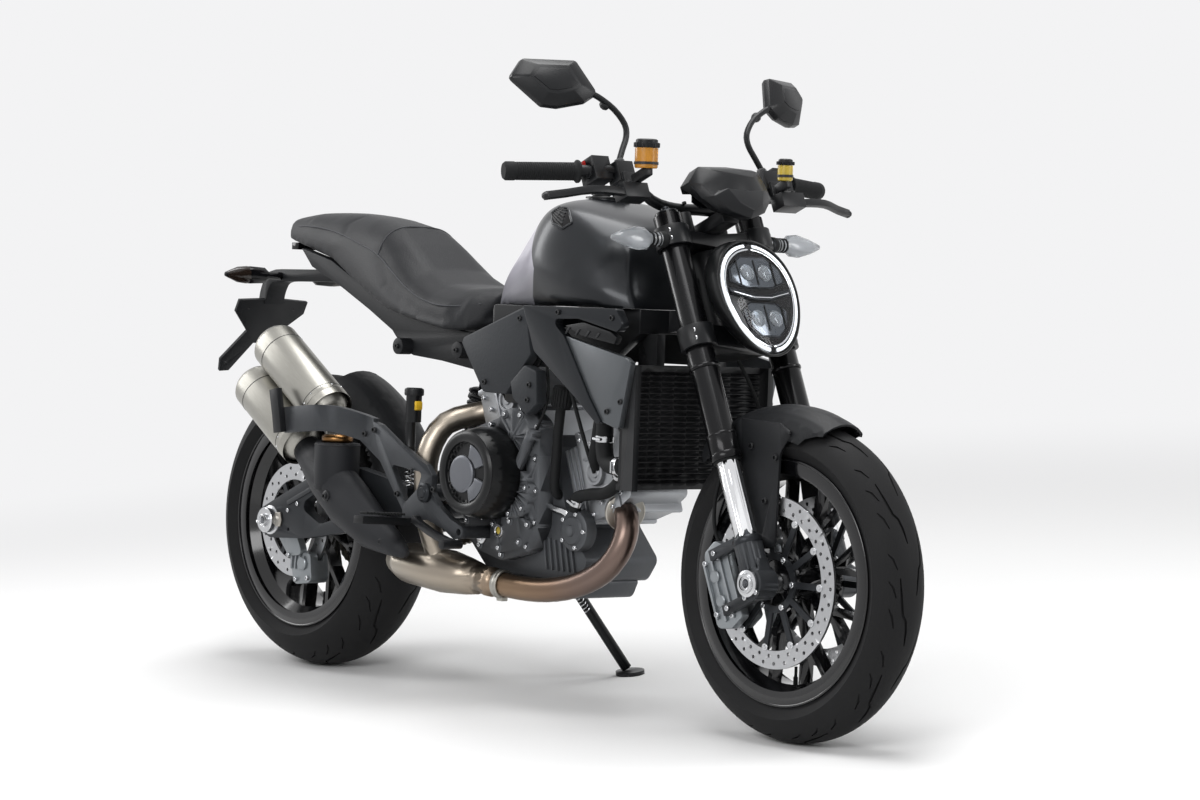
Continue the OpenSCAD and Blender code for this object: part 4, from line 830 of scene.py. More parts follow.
# %% Wheels and brakes
WHEELS = [("front_rim", 44.5, FRONT_WHEEL), ("rear_rim", 70, REAR_WHEEL)]
SPOKE_REACH = 0.1885
DISC_Y, REAR_DISC_Y = 64.6, -87.4
for name, half, place in WHEELS:
    spokes = dressed[name]
    flat = place.inverted()
    for face in spokes.data.polygons:
        corners = [flat @ spokes.data.vertices[i].co for i in face.vertices]
        face.select = all(Vector((p.x, p.z)).length > SPOKE_REACH for p in corners)
    only(spokes)
    bpy.context.tool_settings.mesh_select_mode = (False, False, True)
    bpy.ops.object.mode_set(mode="EDIT")
    bpy.ops.mesh.delete(type="FACE")
    bpy.ops.mesh.select_mode(type="VERT")
    bpy.ops.object.mode_set(mode="OBJECT")
    print(name, len(spokes.data.polygons), "spoke faces kept")
    wall = [
        (202, -half - 5), (206, -half - 6), (226, -half - 6), (230, -half - 4), (230, -half - 1),
        (219, -half), (218, -half + 16), (200, -half + 30), (200, half - 30), (218, half - 16),
        (219, half), (230, half + 1), (230, half + 4), (226, half + 6), (206, half + 6),
        (202, half + 5), (206, half - 8), (190, half - 26), (190, -half + 26), (206, -half + 8),
        (202, -half - 5)
    ]
    piece(
        lathe(wall, (0, 0, 0), LEFT, 128), name + "_barrel", node_body[name], "rim_black", place, 40
    )
    lips = [
        lathe(
            [
                (229 + 3.2 * math.cos(a), s * (half + 3.4) + 3.2 * math.sin(a))
                for a in (i * math.pi / 4 for i in range(9))
            ], (0, 0, 0), LEFT, 96
        ) for s in (-1, 1)
    ]
    piece(join(lips), name + "_lips", node_body[name], "rim_black", place, 60)

for name, place, limit in [("front_discs", FRONT_WHEEL, 0.1255), ("rear_disc", REAR_WHEEL, 0.0862)]:
    mesh = dressed[name].data
    mesh.materials.append(F["anodised_dark"])
    axle = place.translation
    lay = place.to_3x3() @ Vector(LEFT)
    for face in mesh.polygons:
        reach = face.center - axle
        if (reach - lay * reach.dot(lay)).length < limit:
            face.material_index = 1
button = [(0, 3.4), (3.2, 3.4), (3.6, 2.2), (6.6, 2.4), (7.4, 1.6), (7.4, -0.5)]
spots = [
    aim(*spot) for s in (-1, 1) for spot in round_spots((0, 0), s * DISC_Y, 122, 11, (0, s, 0))
]
piece(
    scatter(lathe(button, steps=14), spots), "disc_buttons", node_body["front_discs"],
    "bright_steel", FRONT_WHEEL
)
spots = [spot for s in (-1, 1) for spot in round_spots((0, 0), s * DISC_Y, 50, 6, (0, s, 0))]
bolts("front_disc_bolts", node_body["front_discs"], spots, 6, 4, place=FRONT_WHEEL)
spots = round_spots((0, 0), REAR_DISC_Y, 50, 6, RIGHT)
bolts("rear_disc_bolts", node_body["rear_disc"], spots, 6, 4, place=REAR_WHEEL)
valve = [(0, 30), (3, 30), (3, 12), (4.5, 10), (4.5, -6)]
for name, _, place in WHEELS:
    piece(
        lathe(valve, (0, 0, -188), (0, 0, 1), 10), name + "_valve", node_body[name], "grip_rubber",
        place
    )
print("wheels dressed")

# %% [markdown]
# ## Chain
# A roller chain alternates narrow and wide links on pins. One link plate and one pin with its
# roller are modelled and copied along the pitch line, which runs round the two sprockets.

# %% Chain
REAR_AT, FRONT_AT, REAR_R, FRONT_R = Vector((0, 315)), Vector((640, 400)), 106.22, 38.0
SPROCKET_Y, LINK_PITCH = 105, 15.875
run = FRONT_AT - REAR_AT
base, lift = math.atan2(run.y, run.x), math.acos((REAR_R - FRONT_R) / run.length)
wrap, nose = REAR_R * (2 * math.pi - 2 * lift), FRONT_R * 2 * lift
straight = run.length * math.sin(lift)
LOOP = wrap + nose + 2 * straight
LINKS = 2 * round(LOOP / LINK_PITCH / 2)


def ray(turn):
    """A unit vector of the side view at an angle."""
    return Vector((math.cos(turn), math.sin(turn)))


def on_chain(s):
    """Point of the pitch line at a distance s along the chain."""
    s %= LOOP
    if s < wrap:
        return REAR_AT + REAR_R * ray(base + lift + s / REAR_R)
    if s < wrap + straight:
        low = ray(base - lift)
        return (REAR_AT + REAR_R * low).lerp(FRONT_AT + FRONT_R * low, (s - wrap) / straight)
    if s < wrap + straight + nose:
        return FRONT_AT + FRONT_R * ray(base - lift + (s - wrap - straight) / FRONT_R)
    top = ray(base + lift)
    return (FRONT_AT + FRONT_R * top).lerp(
        REAR_AT + REAR_R * top, (s - wrap - straight - nose) / straight
    )


half_link = [
    (7.2 * math.cos(a), 7.2 * math.sin(a))
    for a in (math.radians(d) for d in (-120, -75, -25, 25, 75, 120))
]
waisted = [(7.9 + x, z) for x, z in half_link] + [(0, 5.2)] + [
    (-7.9 - x, z) for x, z in reversed(half_link)
] + [(0, -5.2)]
links, pins = {0: [], 1: []}, []
for i in range(LINKS):
    a, b = on_chain(i / LINKS * LOOP), on_chain((i + 1) / LINKS * LOOP)
    turn = Matrix.Rotation(-math.atan2(b.y - a.y, b.x - a.x), 4, "Y")
    for s in (-1, 1):
        at = Vector(
            ((a.x + b.x) / 2, SPROCKET_Y + s * (5.0 if i % 2 else 7.0), (a.y + b.y) / 2)
        ) * MM
        links[i % 2].append(Matrix.Translation(at) @ turn)
    pins.append(aim((a.x, SPROCKET_Y, a.y), LEFT))
rows = [scatter(plate(waisted, -0.9, 0.9, 0), links[k]) for k in (0, 1)]
roller = [
    (0, 8.6), (2.6, 8.6), (2.6, 4.2), (5.0, 4.2), (5.0, -4.2), (2.6, -4.2), (2.6, -8.6), (0, -8.6)
]
rows.append(scatter(lathe(roller, steps=8), pins))
chain = piece(
    join(rows), "chain_links", node_body["chain"], "chain_steel", PARK, 40, node_slot["chain"]
)
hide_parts("chain")
teeth = [FRONT_AT + (36 if i % 2 else 31) * ray(i * math.pi / 15) for i in range(30)]
piece(
    plate(teeth, SPROCKET_Y - 3.4, SPROCKET_Y + 3.4, 0.5), "front_sprocket", node_body["chain"],
    "chain_steel"
)
piece(
    lathe(
        [(0, 10), (9, 10), (11, 8), (16, 8), (16, -12)], (FRONT_AT.x, SPROCKET_Y, FRONT_AT.y), LEFT,
        6
    ), "sprocket_nut", node_body["chain"], "bright_steel"
)
print(LINKS, "links,", len(chain.data.polygons), "faces")

# %% [markdown]
# ## Headlamp
# Behind one clear cover sit a gloss black mask, a running light that follows the rim as two lit
# arcs, and an upper and a lower lens module parted by a grey chevron with a bright line. The cover
# keeps the solid's shape, in clear plastic, and the modules are shallow plates and turned lenses
# inside it.


# %% Headlamp
def facing(outline, x0, x1, bevel=0.8):
    """A plate of an outline in y and z, extruded ahead from x0 to x1."""
    obj = plate([(-y, z) for y, z in outline], x0, x1, bevel)
    obj.data.transform(Matrix.Rotation(-math.pi / 2, 4, "Z"))
    return obj


def lamp_edge(k, first, last, count=28):
    """Part of the lamp's egg outline at a share k of its size, between two angles in degrees."""
    angles = [math.radians(first + (last - first) * i / count) for i in range(count + 1)]
    half_w = [LAMP_W / 2 * (1 + LAMP_EGG * math.sin(a)) for a in angles]
    return [
        (k * w * math.cos(a), LAMP_MID + k * LAMP_H / 2 * math.sin(a))
        for a, w in zip(angles, half_w)
    ]


LAMP_W, LAMP_H, LAMP_MID, LAMP_EGG = 190, 230, 51, 0.12
on_fork(facing(lamp_edge(0.955, 0, 351, 39), 111.5, 115, 0.5), "lamp_mask", "lamp_black")
guides = [
    facing(lamp_edge(0.94, a, b) + lamp_edge(0.885, b, a), 115.2, 119.5, 0.6)
    for a, b in ((-84, 84), (96, 264))
]
on_fork(join(guides), "running_light", "light_guide")
inner = [
    facing(lamp_edge(0.86, a, b) + lamp_edge(0.83, b, a), 115.2, 118.2, 0.4)
    for a, b in ((-88, 88), (92, 268))
]
on_fork(join(inner), "lamp_trim", "fork_chrome")
UPPER = [(-30, 131), (30, 131), (60, 108), (64, 84), (30, 72), (-30, 72), (-64, 84), (-60, 108)]
LOWER = [(-34, 38), (34, 38), (54, 22), (44, -8), (20, -26), (-20, -26), (-44, -8), (-54, 22)]
for name, outline, mid_z in [("upper", UPPER, 100), ("lower", LOWER, 8)]:
    rim_line = [(y * 1.07, mid_z + (z - mid_z) * 1.1) for y, z in outline]
    on_fork(facing(rim_line, 115.1, 117.5, 0.6), name + "_lamp_bezel", "anodised_dark")
    on_fork(facing(outline, 117.4, 119.0, 0.4), name + "_lamp_bowl", "lamp_chrome")
    lens = [
        lathe(
            [(17, 0), (16.4, 2.4), (13, 4.6), (7, 6), (0, 6.5)], (118.6, s * 22, mid_z), (1, 0, 0),
            20
        ) for s in (-1, 1)
    ]
    on_fork(join(lens), name + "_lamp_lenses", "glass_bead")
    fins = [
        facing(oblong(y - 1.2, y + 1.2, mid_z + 26, mid_z - 25), 118.6, 121, 0)
        for y in (-44, 0, 44)
    ]
    on_fork(join(fins), name + "_lamp_fins", "lamp_black")
chevron = [(-78, 70), (-20, 56), (20, 56), (78, 70), (74, 58), (24, 44), (-24, 44), (-74, 58)]
on_fork(facing(chevron, 115.2, 122, 1.2), "lamp_chevron", "anodised_dark")
bright = [
    (-70, 61.5), (-22, 50.6), (22, 50.6), (70, 61.5), (70, 59.6), (22, 48.6), (-22, 48.6),
    (-70, 59.6)
]
on_fork(facing(bright, 121.6, 123.2, 0.2), "lamp_bright_line", "fork_chrome")
dressed["headlamp_lens"].data.materials[0] = F["lens_clear"]
ring = tube([(118.5, y, z) for y, z in lamp_edge(1.012, 0, 345, 23)], 2.6, 3, closed=True)
on_fork(ring, "lamp_rim", "clutch_black")
print("headlamp dressed")

# %% [markdown]
# ## Instrument, mirrors and hand controls
# The display faces the rider behind a dark glass, and each mirror holds a silvered plate in a thin
# frame. Grips are turned with shallow rings for the hand, and fluid cups are clear so the fluid's
# colour shows under a ribbed cap.

# %% Instrument and mirrors
display = [(-66, 266), (-54, 306), (54, 306), (66, 266), (48, 254), (-48, 254)]
on_fork(facing(display, 66.5, 70.4, 1.2), "display_glass", "screen_glass")
on_fork(
    facing([(-26, 236), (26, 236), (18, 222), (-18, 222)], 143, 147.5, 1.0), "instrument_grille",
    "screen_black"
)
HEAD_LINE = [(0, 0), (28, 71), (137, 85), (169, 50), (119, -14), (88, -21), (31, -16)]
MIRROR_Y, MIRROR_Z = 84, 30
for s, side in ((1, "left"), (-1, "right")):
    hang = STEER @ Matrix.Translation(Vector((46, s * 219, 489)) * MM) @ Matrix.Rotation(
        s * math.radians(20), 4, "Z"
    )
    face = [
        (s * (MIRROR_Y + (y - MIRROR_Y) * 0.86), MIRROR_Z + (z - MIRROR_Z) * 0.86)
        for y, z in HEAD_LINE
    ]
    on_fork(facing(face, -9.8, -8.6, 0.4), side + "_mirror_glass", "mirror_glass", hang)
    crest = [
        (s * (MIRROR_Y + (y - MIRROR_Y) * 0.5), MIRROR_Z + (z - MIRROR_Z) * 0.46)
        for y, z in HEAD_LINE
    ]
    on_fork(facing(crest, 22.5, 25.2, 1.0), side + "_mirror_crest", "screen_black", hang)
    knob = lathe(
        [(0, -9), (7, -8), (9.5, -3), (9.5, 3), (7, 8), (0, 9)], (36, s * 196, 474),
        (0.1, s * 0.8, 0.55), 16
    )
    on_fork(knob, side + "_mirror_knuckle", "bar_black")
    nut = lathe([(0, 9), (9, 9), (10, 7), (10, 0), (0, 0)], (26, s * 184, 357), (0, 0, 1), 6)
    on_fork(nut, side + "_mirror_nut", "bar_black")
print("instrument and mirrors dressed")

# %% Grips, cups and switches
GRIP_A, GRIP_B = Vector((0, 268, 348)), Vector((-48, 398, 363))
grip_way = (GRIP_B - GRIP_A).normalized()
length = (GRIP_B - GRIP_A).length
profile = [(11.6, 0), (21, 0), (22, 2), (22, 5), (18, 8)]
for i in range(26):
    h = 11 + i * 4.4
    profile += [(17.3, h), (17.3, h + 2.6), (16.5, h + 3.2), (16.5, h + 3.9)]
profile += [
    (17.6, length - 12), (18, length - 10), (18, length + 6), (15, length + 10), (0, length + 10)
]
sides = []
for s in (1, -1):
    sides.append(
        lathe(
            profile, (GRIP_A.x, s * GRIP_A.y, GRIP_A.z), (grip_way.x, s * grip_way.y, grip_way.z),
            28
        )
    )
grips = piece(join(sides), "ringed_grips", FORK, "grip_rubber", STEER, 40, node_slot["grips"])
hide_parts("grips")

UPRIGHT = Vector((math.sin(RAKE), 0, math.cos(RAKE)))
CUPS = [
    ("right", Vector((98, -190, 316)), 22, 38, 16), ("left", Vector((84, 180, 316)), 15, 30, 12)
]
cups = [
    lathe([(0, 0), (r - 2, 0), (r, 2), (r, h), (0, h)], at, UPRIGHT, 32) for _, at, r, h, _ in CUPS
]
piece(cups[0], "right_fluid_cup", FORK, "reservoir_amber", STEER, 35, node_slot["fluid_reservoirs"])
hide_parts("fluid_reservoirs")
on_fork(cups[1], "left_fluid_cup", "reservoir_yellow")
for side, at, r, h, lid in CUPS:
    foot = at + UPRIGHT * (h + 1)
    lid_line = [
        (0, 0), (r + 1, 0), (r + 2, 1.5), (r + 2, lid * 0.55), (r - 1, lid * 0.62),
        (r - 1, lid - 2), (r - 4, lid), (0, lid)
    ]
    on_fork(lathe(lid_line, foot, UPRIGHT, 32), side + "_cup_lid", "screen_black")
    grip_at = aim(foot + UPRIGHT * lid * 0.28, UPRIGHT)
    out = Matrix.Translation(((r + 2) * MM, 0, 0))
    ribs = [grip_at @ Matrix.Rotation(i * math.pi / 12, 4, "Z") @ out for i in range(24)]
    rib = lathe([(0, -lid * 0.25), (1.1, -lid * 0.25), (1.1, lid * 0.25), (0, lid * 0.25)], steps=5)
    on_fork(scatter(rib, ribs), side + "_cup_ribs", "screen_black")
    band = lathe(
        [(r + 0.8, -2), (r + 1.4, -2), (r + 1.4, 3), (r + 0.8, 3)], at + UPRIGHT * 9, UPRIGHT, 28
    )
    on_fork(band, side + "_cup_band", "bar_black")
on_fork(
    plate([(60, 300), (104, 300), (110, 318), (60, 318)], -198, -182, 2), "right_cup_bracket",
    "bar_black"
)
on_fork(
    plate([(56, 300), (92, 300), (96, 318), (56, 318)], 174, 188, 2), "left_cup_bracket",
    "bar_black"
)
on_fork(
    plate([(-8, 352), (8, 354), (8, 368), (-8, 366)], -258.5, -252, 1.5), "stop_switch",
    "red_switch"
)
on_fork(
    plate([(6, 330), (20, 332), (20, 344), (6, 342)], -258.5, -252, 1.5), "start_switch",
    "screen_black"
)
for s, side in ((1, "left"), (-1, "right")):
    ball = lathe(
        [(0, -8), (5, -7), (8, -2), (8, 2), (5, 7), (0, 8)], (28, s * 389, 280), (0.2, 1, 0), 16
    )
    on_fork(ball, side + "_lever_ball", "bar_black")
spots = [
    ((24, -42, 282), (0, 0, 1)), ((2, -42, 282), (0, 0, 1)), ((60, -190, 299), (0.2, 0, 1)),
    ((66, -212, 299), (0.2, 0, 1))
]
bolts("bar_clamp_bolts", FORK, both(spots), 4.5, 4, "bar_black", STEER)
print("hand controls dressed")

# %% [markdown]
# ## Fork and front brake
# The black outer tubes end in clamp rings with pinch bolts and turned caps with an adjuster,
# a lip seals the chrome slider, and each caliper is held by two long bolts and fed by a hose.

# %% Fork and front brake
LEG_X, LEG_Y, AXLE_Z = 34, 105, -485
RING_LINES = (
    ("upper_ring", -60, 29.5, 7), ("lower_ring", -196, 29.5, 7), ("seal_ring", -238, 30.5, 14),
    ("wiper", -246, 27, 6)
)
for s, side in ((1, "left"), (-1, "right")):
    y = s * LEG_Y
    cap = lathe(
        [(0, 12), (7, 12), (8, 10), (8, 4), (14, 3), (21, 2), (22, 0), (22, -4)], (LEG_X, y, 255),
        (0, 0, 1), 24
    )
    on_fork(cap, side + "_fork_cap", "anodised_dark")
    for name, z, r, h in RING_LINES:
        mid = h / 2
        section = [
            (r - 4, -mid), (r - 1, -mid), (r, 1.5 - mid), (r, mid - 1.5), (r - 1, mid), (r - 4, mid)
        ]
        ring = lathe(section, (LEG_X, y, z), (0, 0, 1), 36)
        on_fork(ring, side + "_fork_" + name, "grip_rubber" if name == "wiper" else "fork_black")
    collar = lathe(
        [(23, 0), (27.5, 0), (28.5, 2), (28.5, 10), (26, 14), (22, 14)], (LEG_X, y, -410),
        (0, 0, 1), 36
    )
    on_fork(collar, side + "_shoe_collar", "anodised_dark")
    end = -141 if s < 0 else 137
    ring = lathe(
        [(13, 0), (17, 0), (18, 1), (18, 5), (22, 6), (25, 7), (25, 12), (23, 13)],
        (LEG_X, end, AXLE_Z), (0, -s, 0), 32
    )
    on_fork(ring, side + "_axle_ring", "bright_steel")
spots = []
for s in (-1, 1):
    way = (0, s, 0)
    caliper = ((-136, 84), (-138, -16), (-98, -30), (-98, 84))
    spots += [((LEG_X + 20, s * 126, z), (0.3, s * 0.9, 0)) for z in (8, -8, 211, 195)]
    spots += [((LEG_X - 92, s * 106, AXLE_Z + z), way) for z in (90, -18)]
    spots += [((LEG_X + x, s * 92, AXLE_Z + z), way) for x, z in caliper]
    spots += [((LEG_X + x, s * 128, AXLE_Z - 22), way) for x in (16, -16)]
bolts("fork_bolts", FORK, spots, 5.2, 5, "bright_steel", STEER)
for s, side in ((1, "left"), (-1, "right")):
    ribs = []
    for x, z0, z1 in ((-142, -26, 84), (-120, -36, 96), (-98, -36, 92)):
        outline = oblong(LEG_X + x, LEG_X + x + 6, AXLE_Z + z0, AXLE_Z + z1)
        ribs.append(plate(outline, s * 90, s * 97, 1.5))
    for z in (4, 52):
        at = (LEG_X - 118, s * 92, AXLE_Z + z)
        ribs.append(lathe([(0, 6), (10, 6), (12, 4), (12, -2)], at, (0, s, 0), 20))
    on_fork(join(ribs), side + "_caliper_ribs", "caliper_grey")
    line = [
        (-84, s * 60, -372), (-92, s * 58, -340), (-70, s * 62, -290), (-30, s * 66, -240),
        (-22, s * 64, -180), (-16, s * 58, -120), (-12, s * 46, -70), (-14, s * 34, -24)
    ]
    hose = lead(side + "_brake_hose", FORK, line, 3.6, "grip_rubber", STEER)
    print(side, "brake hose", round(hose, 3), "m")
spots = [((x, -75.2, z), RIGHT) for x, z in ((-20, 150), (-62, 250), (4, 232))]
bolts("fender_bolts", FORK, both(spots), 6, 4, "bar_black", FRONT_WHEEL)
STALK_X, STALK_Z = 44, 196
ribs = [aim((STALK_X, s * (145 + 9 * k), STALK_Z), (0, s, 0)) for s in (-1, 1) for k in range(4)]
bellow = lathe([(11, -2), (14.5, -1.4), (14.5, 1.4), (11, 2)], steps=20)
on_fork(scatter(bellow, ribs), "indicator_bellows", "grip_rubber")
cone = [(16, 0), (15.5, 8), (13.5, 14), (10.5, 26), (0, 26)]
stalks = [lathe(cone, (STALK_X, s * 138, STALK_Z), (0, s, 0), 24) for s in (-1, 1)]
on_fork(join(stalks), "indicator_stalks", "grip_rubber")
print("fork dressed")

# %% [markdown]
# ## Fuel tank
# The tank is pressed steel: one taut skin with a crease low on each flank and a knee hollow behind.
# The solid is a coarse loft, so its copy is turned back to four-sided faces, its sharp lines are
# creased and it is subdivided. The lacquer is satin graphite with a silver field over the knee
# hollow. That field has straight edges that no mesh line follows, so the material finds it in the
# machine's upright view: it lies past two lines of the side view and away from the middle. Below a
# third line the silver darkens with the distance, as painted shade low on the field.

# %% Tank lacquer
lacquer = bpy.data.materials.new("satin_graphite_lacquer")
tree = blank(lacquer)
where = add(tree, "ShaderNodeTexCoord").outputs["Object"]
shifted = add(tree, "ShaderNodeVectorMath", [(0, where), (1, ORIGIN)], operation="ADD")
upright = add(
    tree, "ShaderNodeMapping", [("Vector", shifted.outputs[0]), ("Rotation", (LEAN, 0, 0))]
).outputs[0]


def past_line(tree, spot, normal):
    """Distance past a line of the side view, given by a spot in metres and its normal."""
    away = add(
        tree, "ShaderNodeVectorMath", [(0, upright), (1, (spot[0], 0, spot[1]))],
        operation="SUBTRACT"
    )
    links = [(0, away.outputs[0]), (1, (normal[0], 0, normal[1]))]
    return add(tree, "ShaderNodeVectorMath", links, operation="DOT_PRODUCT").outputs["Value"]


FIELD_FROM_MIDDLE, FIELD_BLUR = 0.07, 0.0006
upper = past_line(tree, (0.846, 0.980), (-0.913, -0.408))
lower = past_line(tree, (0.896, 0.868), (-0.873, 0.488))
side = add(tree, "ShaderNodeSeparateXYZ", [("Vector", upright)]).outputs["Y"]
beyond = calc(tree, "SUBTRACT", calc(tree, "ABSOLUTE", side), FIELD_FROM_MIDDLE)
inside = calc(tree, "MINIMUM", calc(tree, "MINIMUM", upper, lower), beyond)
field = between(tree, inside, -FIELD_BLUR, FIELD_BLUR)
# Painted shade: how far a point lies below a third line, where the silver field darkens.
depth = between(tree, past_line(tree, (0.836, 0.857), (-0.112, 0.994)), 0.05, -0.06, "SMOOTHSTEP")
flake = noise(tree, where, 900.0, 2.0)
drift = noise(tree, where, 6.0, 4.0)
# Painted shade: the silver darkens to grey low down, towards the seat.
silver = blend(tree, depth, linear("#B2AFBA"), linear("#66666C"))
graphite = blend(tree, drift, linear("#1B1D1F"), linear("#24262A"))
# Metal flakes of about 1 mm, coarser than real ones so that they show.
surface(tree, [
    ("Base Color", blend(tree, field, graphite, silver)),
    ("Roughness", spread(tree, drift, 0.25, 0.35)),
    ("Metallic", spread(tree, field, 0.55, 0.2)),
    ("Normal", relief(tree, flake, 0.035, 0.0004)),
    ("Coat Weight", 0.12),
    ("Coat Roughness", 0.14),
])
F["tank_paint"] = lacquer
print("tank lacquer ready")

# %% Tank skin
tank = dress("fuel_tank", 0.0, 40)
edit(tank)
bpy.ops.mesh.tris_convert_to_quads(
    face_threshold=math.radians(60), shape_threshold=math.radians(60)
)
bpy.ops.mesh.select_all(action="DESELECT")
bpy.ops.mesh.edges_select_sharp(sharpness=math.radians(38))
bpy.ops.transform.edge_crease(value=0.9)
bpy.ops.object.mode_set(mode="OBJECT")
apply(tank, "SUBSURF", levels=2, render_levels=2)
bpy.ops.object.shade_smooth_by_angle(angle=math.radians(40))
print("tank", len(tank.data.polygons), "faces")


# %% [markdown]
# ### Tank vents and trim
# A vent with a raised rim sits high on each side of the tank, and a ring of bolts holds the filler.
# Their outlines are drawn in the side view and dropped on the skin at its nearest points, so they
# follow its curve.

# %% Tank vents and trim
def on_skin(skin_obj, point, lift):
    """The parked skin's nearest point to an upright point in millimetres, lifted off it."""
    near = PARK @ (Vector(point) * MM)
    _, spot, normal, _ = skin_obj.closest_point_on_mesh(near)
    return (PARK.inverted() @ (spot + normal * lift * MM)) / MM


VENT = [(924, 990), (952, 988), (978, 946), (964, 934), (936, 945), (920, 963)]
for s, side in ((-1, "right"), (1, "left")):
    edge = [on_skin(tank, (x, s * 140, z), 0.6) for x, z in VENT]
    rim = [
        on_skin(tank, edge[k].lerp(edge[(k + 1) % 6], t), 0.6) for k in range(6)
        for t in (0.06, 0.35, 0.65, 0.94)
    ]
    on_chassis(tube(rim, 2.6, 3, closed=True), side + "_vent_rim", "tank_paint", 60)
    bpy.ops.object.select_all(action="DESELECT")
    bpy.ops.mesh.primitive_circle_add(vertices=24, radius=0.02, fill_type="TRIFAN")
    bed = bpy.context.object
    middle = on_skin(tank, sum(edge, Vector()) / 6, 0.5)
    for vertex, point in zip(bed.data.vertices, [middle] + [r.lerp(middle, 0.02) for r in rim]):
        vertex.co = point * MM
    apply(bed, "SOLIDIFY", thickness=0.0006, offset=0.0)
    on_chassis(bed, side + "_vent_bed", "lamp_black")
    slats = []
    for k in range(7):
        a = edge[0].lerp(edge[5], k / 6)
        b = edge[1].lerp(edge[3], k / 6)
        run = [on_skin(tank, a.lerp(b, t), 0.4) for t in (0.08, 0.35, 0.65, 0.92)]
        slats.append(tube(run, 1.5, 2))
    cross = [
        on_skin(tank, edge[5].lerp(edge[0], t).lerp(edge[3].lerp(edge[1], t), 0.5), 0.4)
        for t in (0.02, 0.35, 0.65, 0.98)
    ]
    on_chassis(join(slats + [tube(cross, 1.5, 2)]), side + "_vent_mesh", "screen_black", 60)
FILLER_X, FILLER_Z = 905, 1012
ring_line = [(35, 0), (38, 0), (39.5, 1.2), (39.5, 3), (44, 3.4), (45, 2.4), (45, 0)]
ring = lathe(ring_line, (FILLER_X, 0, FILLER_Z), (0, 0, 1), 48)
on_chassis(ring, "filler_ring", "clutch_black")
turns = [i * math.pi / 3 + 0.5 for i in range(6)]
spots = [
    ((FILLER_X + 42 * math.cos(a), 42 * math.sin(a), FILLER_Z + 3.2), (0, 0, 1)) for a in turns
]
bolts("filler_bolts", CHASSIS, spots, 2.6, 1.6)
for s, side in ((-1, "right"), (1, "left")):
    duct = [(1010, 760), (1066, 768), (1148, 752), (1166, 742), (1160, 728), (1060, 742)]
    on_chassis(plate(duct, s * 174, s * 190, 2.5), side + "_duct", "screen_black")
    fins = []
    for k in range(4):
        x, top, low = 1014 + 30 * k, 757 - 3 * k, 744 - 2 * k
        fins.append(
            plate([(x + 10, top), (x + 16, top), (x + 6, low), (x, low)], s * 189, s * 191.5, 0.5)
        )
    on_chassis(join(fins), side + "_duct_fins", "dark_plastic")
BODY_BOLTS = [
    (1000, -197.2, 785), (1160, -196.6, 778), (1188, -192.6, 620), (1150, -192.6, 600),
    (715, -145, 640), (820, -145, 770), (393, -123, 702), (591, -123, 700), (866, -153, 640),
    (862, -153, 610)
]
bolts("body_bolts", CHASSIS, both([(at, RIGHT) for at in BODY_BOLTS]), 5.5, 3.5, "bar_black")
print("tank vents and trim made")

# %% [markdown]
# ## Seat
# The seat is foam under a stretched vinyl cover with sewn lines. The solid gives its form, so a
# slightly smaller copy is remeshed and blown up as cloth, which rounds the faces between the edges
# as foam does. Its lower edge is held where the cover is stapled to the pan. The seams are laid on
# the cover after it has swollen.

# %% Seat cover material
vinyl = bpy.data.materials.new("embossed_charcoal_vinyl")
tree = blank(vinyl)
where = add(tree, "ShaderNodeTexCoord").outputs["Object"]
# Leather-like cells of 3 mm, coarser than the real grain so that they show.
cells = add(tree, "ShaderNodeTexVoronoi", [("Vector", where), ("Scale", 330.0)])
drift = noise(tree, where, 8.0, 5.0)
surface(tree, [
    ("Base Color", blend(tree, drift, linear("#141517"), linear("#1E1F22"))),
    ("Roughness", spread(tree, drift, 0.44, 0.58)),
    ("Normal", relief(tree, cells.outputs["Distance"], 0.3, 0.0008)),
    ("Specular IOR Level", 0.22),
    ("Sheen Weight", 0.04),
])
F["seat_cover"] = vinyl
F["seat_thread"] = finish("waxed_seat_thread", "#3A3B3E", 0.6, grain_mm=0.8, grain=0.3)
print("vinyl ready")

# %% Seat foam
seat = dress("seat", 0.0, 50)
apply(seat, "DISPLACE", strength=-0.003, mid_level=0.0)
apply(seat, "REMESH", mode="VOXEL", voxel_size=0.006)
start = [v.co.copy() for v in seat.data.vertices]
edge = seat.vertex_groups.new(name="stapled")
for v in seat.data.vertices:
    if v.normal.z < -0.3:
        edge.add([v.index], 1.0, "REPLACE")
foam = seat.modifiers.new("foam", "CLOTH")
foam.settings.use_pressure = True
foam.settings.uniform_pressure_force = 4.0
foam.settings.vertex_group_mass = "stapled"
foam.settings.quality = 4
foam.settings.effector_weights.gravity = 0.0
foam.collision_settings.use_collision = False
foam.collision_settings.use_self_collision = False
foam.point_cache.frame_start, foam.point_cache.frame_end = 1, 20
for tick in range(1, 21):
    bpy.context.scene.frame_set(tick)
bpy.ops.object.modifier_apply(modifier="foam")
bpy.context.scene.frame_set(1)
CAP = 0.006
for v, rest in zip(seat.data.vertices, start):
    move = v.co - rest
    if move.length > CAP:
        v.co = rest + move.normalized() * CAP
seat.vertex_groups.clear()
apply(seat, "SMOOTH", factor=0.5, iterations=4)
bpy.ops.object.shade_smooth()
print("seat", len(seat.data.polygons), "faces")

# %% Seat seams
SEAT_LINE = [
    (-100, 60, 922, 966), (0, 84, 905, 980), (110, 96, 880, 978), (220, 112, 830, 968),
    (300, 126, 800, 950), (360, 136, 778, 912), (430, 144, 764, 862), (500, 148, 752, 832),
    (570, 148, 742, 826), (640, 108, 747, 829)
]


